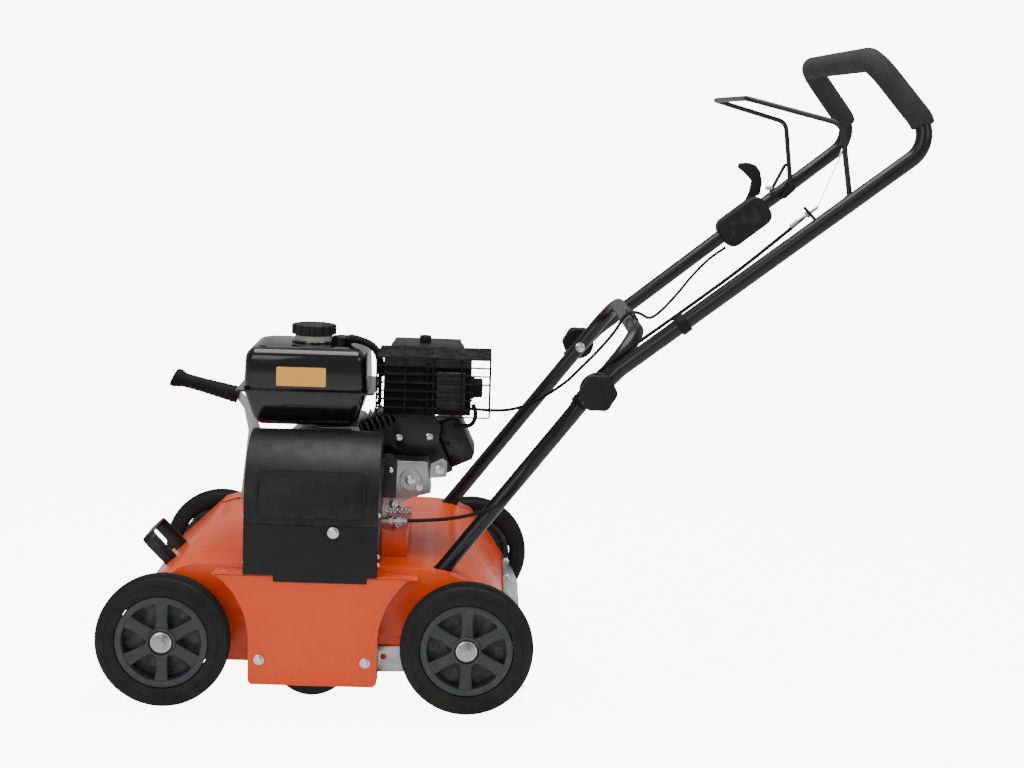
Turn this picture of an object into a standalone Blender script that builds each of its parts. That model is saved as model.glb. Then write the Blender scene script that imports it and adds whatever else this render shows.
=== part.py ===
"""Petrol lawn scarifier: a four-wheeled machine whose engine drives a bladed rotor under a sheet steel hood.

Metres, +Z up. The machine faces -Y, its belt side is at +X, and the ground is at Z = 0.
Points are written from the middle of the wheelbase; ORIGIN_Y then puts the origin under the middle of the machine.
"""

import math

import bmesh
import bpy
from mathutils import Matrix, Vector
from mathutils.geometry import tessellate_polygon

# Driving dimensions
GAP = 0.0003
WHEEL_R = 0.100
RIM_R = 0.0692
TYRE_WIDTH = 0.043
WHEEL_X = 0.3035
HALF_BASE = 0.2262
AXLE_Z = 0.100
AXLE_R = 0.006
BORE_R = AXLE_R + GAP
HANDLE_REAR_Y = 0.8772
ORIGIN_Y = (HANDLE_REAR_Y - HALF_BASE - WHEEL_R) / 2

HOOD_X = 0.257
SHEET = 0.0025
PLATE_IN = HOOD_X + GAP
PLATE_OUT = PLATE_IN + 0.003
HOOD_TOP = 0.2075

PIVOT = (-0.165, 0.135)
PIVOT_R = 0.008
ROTOR = (-0.007, 0.072)
SHAFT_R = 0.010
ENGINE_AT = (0.080, 0.0067, 0.0135)
ENGINE_CRANK = (0.0, 0.305)
CRANK = (ENGINE_CRANK[0] + ENGINE_AT[1], ENGINE_CRANK[1] + ENGINE_AT[2])
CRANK_R = 0.010
TILT = math.radians(25)
BELT_X = 0.2735
BELT_WIDTH = 0.010
ROTOR_GROOVE_R = 0.046
ROTOR_FLANGE_R = 0.0595
CRANK_GROOVE_R = 0.028
IDLER_R = 0.016
IDLER_PIVOT = (0.080, 0.105)
IDLER = (0.0725, 0.165)

COVER_FRONT = -0.109
COVER_REAR = 0.090
COVER_X = 0.305
COVER_BACK_X = 0.1945
COVER_SPLIT = 0.280
COVER_WALL = 0.0025

TUBE_R = 0.012
TUBE_WALL = 0.0016
TUBE_SIDES = 10
LOWER_X = 0.2355
UPPER_X = 0.2610
FOLD = (0.407, 0.491)
GRIP = (0.788, 0.9875)
GRIP_R = 0.0180
BAIL_R = 0.004
BAIL_PIVOT = (0.767, 0.782)
BAIL_X = 0.2625
LEVER_X = -0.200
KNOB_OUT = 0.3086
KNOB_R = 0.0270
CABLE_R = 0.0027


# Mesh helpers
def circle(centre, radius, count=24, start=0.0, sweep=math.tau):
    """Points on a circle, or on an arc where sweep is less than a full turn."""
    full = abs(sweep - math.tau) < 1e-9
    steps = count if full else count - 1
    angles = [start + sweep * i / steps for i in range(count)]
    return [(centre[0] + radius * math.cos(a), centre[1] + radius * math.sin(a)) for a in angles]


def on_axis(u, v, along, axis):
    """A point from its two in-plane values and its place along the axis."""
    return {"X": (along, u, v), "Y": (u, along, v), "Z": (u, v, along)}[axis]


def plate(outline, low, high, axis="X", holes=()):
    """A flat outline with holes, drawn out from low to high along an axis."""
    mesh = bmesh.new()
    loops = [list(outline)] + [list(hole) for hole in holes]
    ends = [[[mesh.verts.new(on_axis(u, v, w, axis)) for u, v in loop] for loop in loops] for w in (low, high)]
    flat = [[Vector((u, v, 0)) for u, v in loop] for loop in loops]
    for triangle in tessellate_polygon(flat):
        for end in ends:
            verts = [vert for loop in end for vert in loop]
            mesh.faces.new([verts[i] for i in triangle])
    for first, second in zip(*ends):
        for i in range(len(first)):
            j = (i + 1) % len(first)
            mesh.faces.new((first[i], first[j], second[j], second[i]))
    bmesh.ops.recalc_face_normals(mesh, faces=mesh.faces)
    return mesh


def turned(profile, centre, axis="X", steps=24, ring=False):
    """A solid of revolution. Profile points are (place along the axis, radius); ring closes the profile on itself."""
    mesh = bmesh.new()
    rows = []
    for along, radius in profile:
        if radius == 0:
            rows.append([mesh.verts.new(on_axis(centre[0], centre[1], along, axis))] * steps)
            continue
        points = circle(centre, radius, steps)
        rows.append([mesh.verts.new(on_axis(u, v, along, axis)) for u, v in points])
    pairs = list(zip(rows, rows[1:])) + ([(rows[-1], rows[0])] if ring else [])
    for first, second in pairs:
        for i in range(steps):
            j = (i + 1) % steps
            corners = dict.fromkeys((first[i], first[j], second[j], second[i]))
            if len(corners) > 2:
                mesh.faces.new(list(corners))
    bmesh.ops.recalc_face_normals(mesh, faces=mesh.faces)
    return mesh


def block(low, high, bevel=0.0, segments=2):
    """A box between two corners, with its edges rounded by bevel."""
    mesh = bmesh.new()
    bmesh.ops.create_cube(mesh, size=1.0)
    for vert in mesh.verts:
        for i in range(3):
            vert.co[i] = high[i] if vert.co[i] > 0 else low[i]
    if bevel:
        bmesh.ops.bevel(mesh, geom=mesh.edges[:], offset=bevel, segments=segments, affect="EDGES", profile=0.5)
    return mesh


def rounded(points, radius, steps=5):
    """The open path through points, with each inner corner replaced by an arc."""
    path = [Vector(points[0])]
    for before, corner, after in zip(points, points[1:], points[2:]):
        corner = Vector(corner)
        come = (corner - Vector(before)).normalized()
        leave = (Vector(after) - corner).normalized()
        half = come.angle(leave) / 2
        if half < 0.01:
            path.append(corner)
            continue
        reach = radius * math.tan(half)
        centre = corner + (leave - come).normalized() * (radius / math.cos(half))
        begin = corner - come * reach - centre
        finish = corner + leave * reach - centre
        for i in range(steps + 1):
            spoke = begin.slerp(finish, i / steps).normalized()
            path.append(centre + spoke * radius)
    path.append(Vector(points[-1]))
    return path


def smooth(points, spacing):
    """Points about one spacing apart on a Catmull-Rom curve through the given ones."""
    knots = [Vector(p) for p in points]
    knots = [2 * knots[0] - knots[1]] + knots + [2 * knots[-1] - knots[-2]]
    path = []
    for a, b, c, d in zip(knots, knots[1:], knots[2:], knots[3:]):
        count = max(1, round((c - b).length / spacing))
        for i in range(count):
            t = i / count
            path.append(
                0.5 * ((2 * b) + (c - a) * t + (2 * a - 5 * b + 4 * c - d) * t * t
                       + (3 * b - a - 3 * c + d) * t * t * t)
            )
    path.append(knots[-2])
    return path


def frames(path):
    """Two directions square to the path at each of its points, carried along without twist."""
    tangents = []
    for i in range(len(path)):
        ahead = path[min(i + 1, len(path) - 1)]
        behind = path[max(i - 1, 0)]
        tangents.append((ahead - behind).normalized())
    side = tangents[0].orthogonal().normalized()
    found = []
    for tangent in tangents:
        side = (side - tangent * side.dot(tangent)).normalized()
        found.append((side, tangent.cross(side)))
    return found


def tube(path, radius, sides=10, bore=0.0):
    """A round rod along a path, or a pipe with open ends where bore is given."""
    mesh = bmesh.new()
    path = [Vector(p) for p in path]

    def skin(r):
        rows = []
        for point, (side, up) in zip(path, frames(path)):
            angles = [math.tau * k / sides for k in range(sides)]
            rows.append([mesh.verts.new(point + side * (r * math.cos(a)) + up * (r * math.sin(a))) for a in angles])
        for first, second in zip(rows, rows[1:]):
            for k in range(sides):
                mesh.faces.new((first[k], first[(k + 1) % sides], second[(k + 1) % sides], second[k]))
        return rows

    outer = skin(radius)
    if bore:
        inner = skin(bore)
        for end in (0, -1):
            for k in range(sides):
                j = (k + 1) % sides
                mesh.faces.new((outer[end][k], outer[end][j], inner[end][j], inner[end][k]))
    else:
        mesh.faces.new(outer[0])
        mesh.faces.new(outer[-1])
    bmesh.ops.recalc_face_normals(mesh, faces=mesh.faces)
    return mesh


def band(path, thickness):
    """The closed outline of a sheet whose outer line is path and which lies to its right."""
    inner = []
    count = len(path)
    for i, point in enumerate(path):
        before = Vector(path[max(i - 1, 0)])
        here = Vector(point)
        after = Vector(path[min(i + 1, count - 1)])
        come = (here - before).normalized() if i else (after - here).normalized()
        leave = (after - here).normalized() if i < count - 1 else come
        normal = Vector((come.y, -come.x)) + Vector((leave.y, -leave.x))
        normal.normalize()
        reach = thickness / max(0.5, normal.dot(Vector((come.y, -come.x))))
        inner.append(tuple(here + normal * reach))
    return list(path) + inner[::-1]


def in_cylinder(s, n):
    """A point by its distance along the tilted cylinder's axis and square to it."""
    cos, sin = math.cos(TILT), math.sin(TILT)
    return (ENGINE_CRANK[0] + s * cos - n * sin, ENGINE_CRANK[1] + s * sin + n * cos)


# Scene helpers
datum = Vector((0.0, 0.0, 0.0))


def clear_scene():
    for obj in list(bpy.data.objects):
        bpy.data.objects.remove(obj, do_unlink=True)


def make_material(name, look):
    colour, roughness, metallic = look
    material = bpy.data.materials.new(name)
    material.use_nodes = True
    shader = material.node_tree.nodes["Principled BSDF"]
    shader.inputs["Base Color"].default_value = (*colour, 1.0)
    shader.inputs["Roughness"].default_value = roughness
    shader.inputs["Metallic"].default_value = metallic
    return material


def make_object(name, mesh, pivot=(0.0, 0.0, 0.0)):
    """An object whose origin is at pivot, which is given from the datum in use."""
    data = bpy.data.meshes.new(name)
    bmesh.ops.translate(mesh, vec=-Vector(pivot), verts=mesh.verts)
    mesh.to_mesh(data)
    mesh.free()
    data.shade_smooth()
    data.set_sharp_from_angle(angle=math.radians(35))
    obj = bpy.data.objects.new(name, data)
    obj.location = Vector(pivot) + datum - Vector((0.0, ORIGIN_Y, 0.0))
    bpy.context.scene.collection.objects.link(obj)
    return obj


def helper(name, mesh):
    obj = make_object(name, mesh)
    obj.hide_render = True
    obj.display_type = "WIRE"
    return obj


def cut(obj, mesh, operation="DIFFERENCE"):
    """Cuts mesh from the object, or adds it to the object."""
    modifier = obj.modifiers.new("cut", "BOOLEAN")
    modifier.operation = operation
    modifier.solver = "EXACT"
    modifier.object = helper(f"{obj.name}_cutter_{len(obj.modifiers)}", mesh)


def add(obj, mesh):
    cut(obj, mesh, "UNION")


def node(name, mesh, look, pivot=(0.0, 0.0, 0.0)):
    obj = make_object(name, mesh, pivot)
    obj.data.materials.append(make_material(name, look))
    return obj


ORANGE = ((0.80, 0.13, 0.01), 0.25, 0.0)
BLACK_GLOSS = ((0.010, 0.010, 0.012), 0.15, 0.0)
BLACK_SATIN = ((0.020, 0.020, 0.022), 0.45, 0.0)
BLACK_PAINT = ((0.015, 0.015, 0.016), 0.35, 0.0)
RUBBER = ((0.018, 0.018, 0.018), 0.8, 0.0)
GREY_PLASTIC = ((0.16, 0.16, 0.165), 0.5, 0.0)
GALVANISED = ((0.62, 0.63, 0.64), 0.35, 1.0)
ALUMINIUM = ((0.55, 0.56, 0.57), 0.4, 1.0)
STEEL = ((0.45, 0.45, 0.46), 0.3, 1.0)


# Deck
HOOD_LINE = [
    (-0.283, 0.100), (-0.289, 0.125), (-0.2125, 0.199), (-0.186, HOOD_TOP), (0.150, HOOD_TOP),
    (0.190, 0.2045), (0.223, 0.191), (0.255, 0.150), (0.300, 0.082),
]
SLOPE = Vector((0.0, FOLD[0] - 0.187, FOLD[1] - 0.204)).normalized()


def lower_point(distance, x=LOWER_X):
    """A point on the lower handle's line, at a distance up from the fold."""
    return (x, FOLD[0] + SLOPE.y * distance, FOLD[1] + SLOPE.z * distance)


def build_deck():
    hood = node("deck_hood", plate(band(HOOD_LINE, SHEET), -HOOD_X, HOOD_X), ORANGE)
    cut(hood, block((LEVER_X - 0.008, -0.212, 0.15), (LEVER_X + 0.008, -0.115, 0.25)))
    for side in (-1, 1):
        legs = [lower_point(-0.42, side * LOWER_X), lower_point(-0.25, side * LOWER_X)]
        cut(hood, tube(legs, TUBE_R + 0.0015, 16))
    outline = HOOD_LINE + [
        (0.290, 0.076), (0.235, 0.070), (0.120, 0.058), (0.062, 0.036), (-0.078, 0.036),
        (-0.100, 0.0575), (-0.240, 0.0575),
    ]
    holes = [
        circle(ROTOR, 0.0200),
        circle(PIVOT, PIVOT_R + GAP, 16),
        circle((HALF_BASE, AXLE_Z), AXLE_R + GAP, 16),
    ]
    for name, low, high in (("left", PLATE_IN, PLATE_OUT), ("right", -PLATE_OUT, -PLATE_IN)):
        node(f"side_plate_{name}", plate(outline, low, high, "X", holes), ORANGE)
    build_axle_brackets()
    build_front_handle()
    sheet = [(0.2835, 0.1110), (0.3030, 0.0815), (0.3125, 0.060), (0.3145, 0.018)]
    node("rear_deflector", plate(band(sheet, 0.0012), -0.245, 0.245), GALVANISED)


def build_front_handle():
    """A flat strip bent into a U, whose legs stand square on the hood's front slope."""
    top, bottom = (Vector((0.0, *HOOD_LINE[i])) for i in (2, 1))
    across = Vector((1.0, 0.0, 0.0))
    down = (bottom - top).normalized()
    out = down.cross(across)
    half_span, reach, strip = 0.0515, 0.0573, 0.0235
    corners = [(-half_span, GAP, 0), (-half_span, reach, 0), (half_span, reach, 0), (half_span, GAP, 0)]
    bend = [(p.x, p.y) for p in rounded(corners, 0.010, 4)]
    middle = 0.0624
    mesh = plate(band(bend, 0.003), middle - strip / 2, middle + strip / 2, "Z")
    place = Matrix((across, out, down)).transposed().to_4x4()
    bmesh.ops.transform(mesh, matrix=Matrix.Translation(top) @ place, verts=mesh.verts)
    node("front_handle", mesh, BLACK_SATIN)


def build_axle_brackets():
    """A flat bar outside each side plate that carries the rear axle."""
    outline = [(0.0905, 0.0468), (0.195, 0.050), (0.240, 0.082)]
    outline += circle((HALF_BASE, AXLE_Z), 0.017, 8, -0.6, 2.9)
    outline += [(0.195, 0.0873), (0.0905, 0.0873)]
    holes = [circle((HALF_BASE, AXLE_Z), AXLE_R + GAP, 16), circle((0.1000, 0.0712), 0.0045, 12)]
    low = PLATE_OUT + GAP
    for name, span in (("left", (low, low + 0.003)), ("right", (-low - 0.003, -low))):
        node(f"axle_bracket_{name}", plate(outline, *span, "X", holes), GALVANISED)


# Wheels and axles
def wheel_meshes(side):
    """The tyre and the rim, with the outer face on the given side."""
    half = TYRE_WIDTH / 2
    inner = RIM_R + 3 * GAP
    tyre = [
        (-half, inner + 0.006), (-half + 0.002, WHEEL_R - 0.008), (-half + 0.007, WHEEL_R - 0.0012),
        (0, WHEEL_R), (half - 0.007, WHEEL_R - 0.0012), (half - 0.002, WHEEL_R - 0.008),
        (half, inner + 0.006), (half - 0.004, inner), (-half + 0.004, inner),
    ]
    rim = [
        (-0.0175, RIM_R), (0.0175, RIM_R), (0.0175, 0.0655), (0.0100, 0.0620), (0.0130, 0.0215),
        (0.0205, 0.0205), (0.0205, BORE_R), (-0.0205, BORE_R), (-0.0205, 0.0215), (0.0070, 0.0215),
        (0.0040, 0.0620), (-0.0175, 0.0655),
    ]
    return [[(side * (WHEEL_X + x), r) for x, r in profile] for profile in (tyre, rim)]


def build_wheels():
    windows, web = 6, 0.0090
    for name, side, y in (("front_left", 1, -HALF_BASE), ("front_right", -1, -HALF_BASE),
                          ("rear_left", 1, HALF_BASE), ("rear_right", -1, HALF_BASE)):
        centre = (y, AXLE_Z)
        pivot = (side * WHEEL_X, y, AXLE_Z)
        tyre, rim = wheel_meshes(side)
        node(f"tyre_{name}", turned(tyre, centre, "X", 32, True), RUBBER, pivot)
        wheel = node(f"rim_{name}", turned(rim, centre, "X", 20, True), GREY_PLASTIC, pivot)
        for i in range(windows):
            middle = math.tau * i / windows
            outline = circle(centre, 0.0560, 4, middle - 0.29, 0.58)
            outline += circle(centre, 0.0270, 3, middle + 0.28, -0.56)
            cutter = helper(f"{wheel.name}_window_{i}", plate(outline, side * (WHEEL_X + web), side * 0.325))
            modifier = wheel.modifiers.new("window", "BOOLEAN")
            modifier.solver = "EXACT"
            modifier.object = cutter


def axle_profile(end):
    """Half of a round axle whose end has a washer and a nut."""
    face = WHEEL_X + 0.0205 + GAP
    return [(face, end), (face, 0.014), (face + 0.002, 0.014), (face + 0.002, 0.0075), (face + 0.005, 0.0075),
            (face + 0.005, 0)]


def build_axles():
    half = axle_profile(AXLE_R)
    profile = [(-x, r) for x, r in half[::-1]] + half
    node("rear_axle", turned(profile, (HALF_BASE, AXLE_Z), "X", 16), STEEL)
    build_front_axle()


def build_front_axle():
    """Pivot tube across the deck with a crank and a stub axle at each end. The depth lever turns it."""
    rod = [(-0.2700, 0), (-0.2700, PIVOT_R), (0.2700, PIVOT_R), (0.2700, 0)]
    axle = node("front_axle", turned(rod, PIVOT, "X", 16), STEEL, (0.0, *PIVOT))
    angle = math.atan2(AXLE_Z - PIVOT[1], -HALF_BASE - PIVOT[0])
    arm = circle((-HALF_BASE, AXLE_Z), 0.013, 9, angle - math.pi / 2, math.pi)
    arm += circle(PIVOT, 0.015, 9, angle + math.pi / 2, math.pi)
    stub = [(0.2660, 0), (0.2660, AXLE_R)] + axle_profile(AXLE_R)
    for side in (-1, 1):
        add(axle, plate(arm, side * 0.2660, side * 0.2720))
        add(axle, turned([(side * x, r) for x, r in stub], (-HALF_BASE, AXLE_Z), "X", 16))


def build_depth_lever():
    """Flat arm on the pivot tube, through the hood's slot, with a rubber grip."""
    ring = circle(PIVOT, 0.017, 10, math.radians(195), math.radians(150))
    edge = [(-0.1480, 0.2100), (-0.1470, 0.3330), (-0.1620, 0.3780), (-0.1830, 0.3985)]
    back = [(-0.1870, 0.3835), (-0.1760, 0.3680), (-0.1680, 0.3300), (-0.1800, 0.2100)]
    bore = circle(PIVOT, PIVOT_R + GAP, 16)
    pivot = (LEVER_X, *PIVOT)
    arm = plate(ring + edge + back, LEVER_X - 0.0025, LEVER_X + 0.0025, "X", [bore])
    node("depth_lever", arm, GALVANISED, pivot)
    start = Vector((LEVER_X, -0.1855, 0.3912))
    along = Vector((0, -0.112, 0.028)).normalized()
    sizes = [(0.0006, 0), (0.0006, 0.0150), (0.020, 0.0135), (0.060, 0.0125), (0.098, 0.0130), (0.108, 0.0165),
             (0.115, 0.0165), (0.117, 0)]
    grip = turned(sizes, (0, 0), "X", 16)
    turn = Vector((1, 0, 0)).rotation_difference(along).to_matrix().to_4x4()
    bmesh.ops.transform(grip, matrix=Matrix.Translation(start) @ turn, verts=grip.verts)
    node("depth_grip", grip, RUBBER, pivot)
    low = HOOD_TOP + GAP
    teeth = []
    for i in range(5):
        angle = math.radians(90 - 7 * i)
        for shift, radius in ((2.2, 0.105), (1.2, 0.098), (-1.2, 0.098), (-2.2, 0.105)):
            a = angle + math.radians(shift)
            teeth.append((PIVOT[0] + radius * math.cos(a), PIVOT[1] + radius * math.sin(a)))
    outline = [(-0.170, low), *teeth, (-0.095, low)]
    node("depth_quadrant", plate(outline, LEVER_X + 0.0035, LEVER_X + 0.0060), GALVANISED)


# Rotor and belt drive
def star(centre, turn, arms=3, tip=0.062, root=0.019):
    """A cutting blade's outline: swept arms on a ring."""
    points = []
    for i in range(arms):
        a = turn + math.tau * i / arms
        for radius, lead in ((root, -0.55), (tip, 0.00), (tip - 0.001, 0.13), (root, 0.60)):
            angle = a + lead
            points.append((centre[0] + radius * math.cos(angle), centre[1] + radius * math.sin(angle)))
    return points


def build_rotor():
    pivot = (0.0, *ROTOR)
    shaft = [(-0.2720, 0), (-0.2720, SHAFT_R), (0.2860, SHAFT_R), (0.2860, 0)]
    node("rotor_shaft", turned(shaft, ROTOR, "X", 20), STEEL, pivot)
    bore = SHAFT_R + GAP
    hub = [(-0.238, bore), (0.238, bore), (0.238, 0.0175), (-0.238, 0.0175)]
    rotor = node("rotor_blades", turned(hub, ROTOR, "X", 20, True), STEEL, pivot)
    blades = bmesh.new()
    count = 14
    for i in range(count):
        x = -0.228 + 0.456 * i / (count - 1)
        outline = star(ROTOR, 0.45 * i)
        one = plate(outline, x - 0.0013, x + 0.0013, "X", [circle(ROTOR, 0.0145, 8)])
        data = bpy.data.meshes.new("blade")
        one.to_mesh(data)
        blades.from_mesh(data)
        one.free()
    add(rotor, blades)
    for name, side in (("left", 1), ("right", -1)):
        profile = [(0.2480, bore), (0.2480, 0.0195), (PLATE_OUT + GAP, 0.0195), (PLATE_OUT + GAP, 0.031),
                   (PLATE_OUT + GAP + 0.003, 0.031), (PLATE_OUT + GAP + 0.004, 0.0195), (0.2660, bore)]
        node(f"rotor_bearing_{name}", turned([(side * x, r) for x, r in profile], ROTOR, "X", 24, True), STEEL)


def pulley(centre, groove, flange, bore, steps=32):
    half = BELT_WIDTH / 2 + GAP
    profile = [
        (BELT_X - half - 0.0012, bore), (BELT_X - half - 0.0012, flange), (BELT_X - half, flange),
        (BELT_X - half, groove), (BELT_X + half, groove), (BELT_X + half, flange),
        (BELT_X + half + 0.0012, flange), (BELT_X + half + 0.0012, bore),
    ]
    return turned(profile, centre, "X", steps, True)


def loop_around(first, first_r, second, second_r, count=16):
    """The outline of a belt round two circles, the first one above the second."""
    away = Vector(first) - Vector(second)
    angle = math.atan2(away.y, away.x)
    lean = math.asin((second_r - first_r) / away.length)
    start = angle - math.pi / 2 + lean
    upper = circle(first, first_r, count, start, math.pi - 2 * lean)
    lower = circle(second, second_r, count, start + math.pi - 2 * lean, math.pi + 2 * lean)
    return upper + lower


def build_drive():
    node("rotor_pulley", pulley(ROTOR, ROTOR_GROOVE_R, ROTOR_FLANGE_R, SHAFT_R + GAP), BLACK_SATIN, (BELT_X, *ROTOR))
    drive = node("drive_pulley", pulley(CRANK, CRANK_GROOVE_R, 0.038, 0.004), STEEL, (BELT_X, *CRANK))
    add(drive, turned([(0.1925, 0), (0.1925, CRANK_R), (0.2850, CRANK_R), (0.2850, 0)], CRANK, "X", 16))
    clear, thick = 0.0012, 0.008
    inner = loop_around(CRANK, CRANK_GROOVE_R + clear, ROTOR, ROTOR_GROOVE_R + clear)
    outer = loop_around(CRANK, CRANK_GROOVE_R + thick, ROTOR, ROTOR_GROOVE_R + thick)
    half = BELT_WIDTH / 2 - GAP
    node("drive_belt", plate(outer, BELT_X - half, BELT_X + half, "X", [inner]), RUBBER)
    low = PLATE_OUT + 0.0015
    away = math.atan2(IDLER[1] - IDLER_PIVOT[1], IDLER[0] - IDLER_PIVOT[0])
    arm = circle(IDLER, 0.009, 7, away - math.pi / 2, math.pi)
    arm += circle(IDLER_PIVOT, 0.010, 7, away + math.pi / 2, math.pi)
    pivot = (low, *IDLER_PIVOT)
    lever = node("idler_arm", plate(arm, low, low + 0.003), GALVANISED, pivot)
    add(lever, turned([(low + 0.001, 0), (low + 0.001, 0.004), (0.2860, 0.004), (0.2860, 0)], IDLER, "X", 12))
    wheel = [(0.2670, 0.0043), (0.2670, IDLER_R), (0.2800, IDLER_R), (0.2800, 0.0043)]
    node("idler_pulley", turned(wheel, IDLER, "X", 20, True), BLACK_SATIN, (BELT_X, *IDLER))


def build_belt_covers():
    """The orange side sheet over the lower run and the two black covers over the upper run."""
    front_arch, rear_arch, corner = 0.1255, 0.1340, 0.005
    side = [(front_arch - HALF_BASE, 0.033 + corner), (front_arch - HALF_BASE + corner, 0.033)]
    side += [(HALF_BASE - rear_arch - corner, 0.033), (HALF_BASE - rear_arch, 0.033 + corner)]
    side += circle((HALF_BASE, AXLE_Z), rear_arch, 7, math.radians(180), math.radians(-50))
    side += circle((-HALF_BASE, AXLE_Z), front_arch, 7, math.radians(54.7), math.radians(-54.7))
    front, back = 0.3000, PLATE_OUT + 0.0034
    cover = node("belt_side_cover", plate(side, back, front), ORANGE)
    middle = Vector((0.0, 0.12))
    inside = [tuple(middle + (Vector(p) - middle) * 0.978) for p in side]
    cut(cover, plate(inside, back - 0.01, front - 0.002))
    slot = ROTOR_FLANGE_R + 0.002
    cut(cover, block((back - 0.01, ROTOR[0] - slot, 0.0), (front - 0.002, ROTOR[0] + slot, 0.25)))
    base = HOOD_TOP + 0.0040
    wall = COVER_WALL
    box = [
        (COVER_BACK_X, COVER_FRONT), (COVER_X, COVER_FRONT), (COVER_X, COVER_REAR), (COVER_BACK_X, COVER_REAR),
        (COVER_BACK_X, COVER_REAR - wall), (COVER_X - wall, COVER_REAR - wall),
        (COVER_X - wall, COVER_FRONT + wall), (COVER_BACK_X, COVER_FRONT + wall),
    ]
    lower = node("belt_cover_lower", plate(box, base, COVER_SPLIT, "Z"), BLACK_SATIN)
    add(lower, block((COVER_X - wall, COVER_FRONT, 0.2028), (COVER_X, COVER_REAR, base + 0.01)))
    add(lower, block((COVER_X - wall, -0.064, 0.1930), (COVER_X, 0.075, base + 0.01)))
    low = COVER_SPLIT + GAP
    radius = 0.100
    centre = (COVER_X - radius, 0.305)
    arc = circle(centre, radius, 10, 0.0, math.pi / 2)
    outer = [(COVER_BACK_X, low), (COVER_X, low), *arc, (COVER_BACK_X, centre[1] + radius)]
    upper = node("belt_cover_upper", plate(outer, COVER_FRONT, COVER_REAR, "Y"), BLACK_SATIN)
    arc = circle(centre, radius - wall, 10, 0.0, math.pi / 2)
    hollow = [(0.15, low - 0.02), (COVER_X - wall, low - 0.02), *arc, (0.15, centre[1] + radius - wall)]
    cut(upper, plate(hollow, COVER_FRONT + wall, COVER_REAR - wall, "Y"))


# Engine
def build_engine():
    """The whole engine, drawn from its own datum and stood on its pedestal."""
    datum[:] = ENGINE_AT
    top = HOOD_TOP + GAP - ENGINE_AT[2]
    node("engine_plate", block((-0.070, -0.112, top), (0.1065, 0.122, 0.235)), ORANGE)
    build_engine_block()
    build_exhaust()
    build_tank()
    build_engine_fittings()
    datum[:] = (0.0, 0.0, 0.0)


def build_engine_block():
    base = 0.235 + GAP
    flange = 0.0720
    outline = [(-0.095, base), (0.085, base), in_cylinder(flange, -0.060), in_cylinder(flange, 0.060),
               (-0.045, 0.385), (-0.100, 0.340), (-0.100, 0.250)]
    node("crankcase", plate(outline, -0.075, 0.062), ALUMINIUM)
    cover = [(-0.095, base), (0.080, base), (0.0823, 0.2656), (0.1259, 0.2882), (0.1569, 0.2972), (0.1506, 0.3456),
             (0.060, 0.3465), (0.030, 0.385), (-0.045, 0.385), (-0.100, 0.340), (-0.100, 0.250)]
    node("crankcase_cover", plate(cover, 0.0623, 0.112), ALUMINIUM)
    fins, pitch, first, last = 9, 0.0092, flange + GAP, 0.1580
    top, bottom = [], []
    for i in range(fins):
        s = first + 0.002 + pitch * i
        high = min(0.062, (0.106 - (s + 0.003) * math.sin(TILT)) / math.cos(TILT))
        top += [(s, 0.040), (s, high), (s + 0.003, high), (s + 0.003, 0.040)]
        bottom += [(s, -0.045), (s, -0.062), (s + 0.003, -0.062), (s + 0.003, -0.045)]
    head = [(last, 0.014), (0.1780, 0.014), (0.1780, -0.064), (last, -0.064)]
    comb = [(first, 0.040), *top, (last, 0.040), *head, (last, -0.045), *bottom[::-1], (first, -0.045)]
    block_outline = [in_cylinder(s, n) for s, n in comb]
    node("cylinder_block", plate(block_outline, -0.058, 0.058), ALUMINIUM)
    cover = [(0.1783, 0.012), (0.1783, -0.0615), (0.2120, -0.0615), (0.2195, -0.0540), (0.2195, 0.0045),
             (0.2120, 0.012)]
    node("rocker_cover", plate([in_cylinder(s, n) for s, n in cover], -0.046, 0.046), BLACK_PAINT)


def build_exhaust():
    top = 0.4165
    outline = [(0.095, 0.395), (0.100, 0.362), (0.115, 0.352), (0.150, 0.352), (0.165, 0.362), (0.168, 0.395),
               (0.155, top - GAP), (0.105, top - GAP)]
    node("exhaust_flange", plate(outline, 0.0585, 0.0700), BLACK_PAINT)
    low, high, wall = Vector((0.010, 0.0800, top)), Vector((0.108, 0.2135, 0.5040)), Vector((0.0025,) * 3)
    muffler = node("muffler", block(low, high, 0.012, 2), BLACK_PAINT)
    outlet = (0.080, 0.458)
    add(muffler, turned([(0.200, 0), (0.200, 0.0145), (0.231, 0.0145), (0.231, 0)], outlet, "Y", 16))
    cut(muffler, block(low + wall, high - wall, 0.010, 2))
    cut(muffler, turned([(0.150, 0), (0.150, 0.0115), (0.250, 0.0115), (0.250, 0)], outlet, "Y", 16))
    build_guard()


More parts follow.
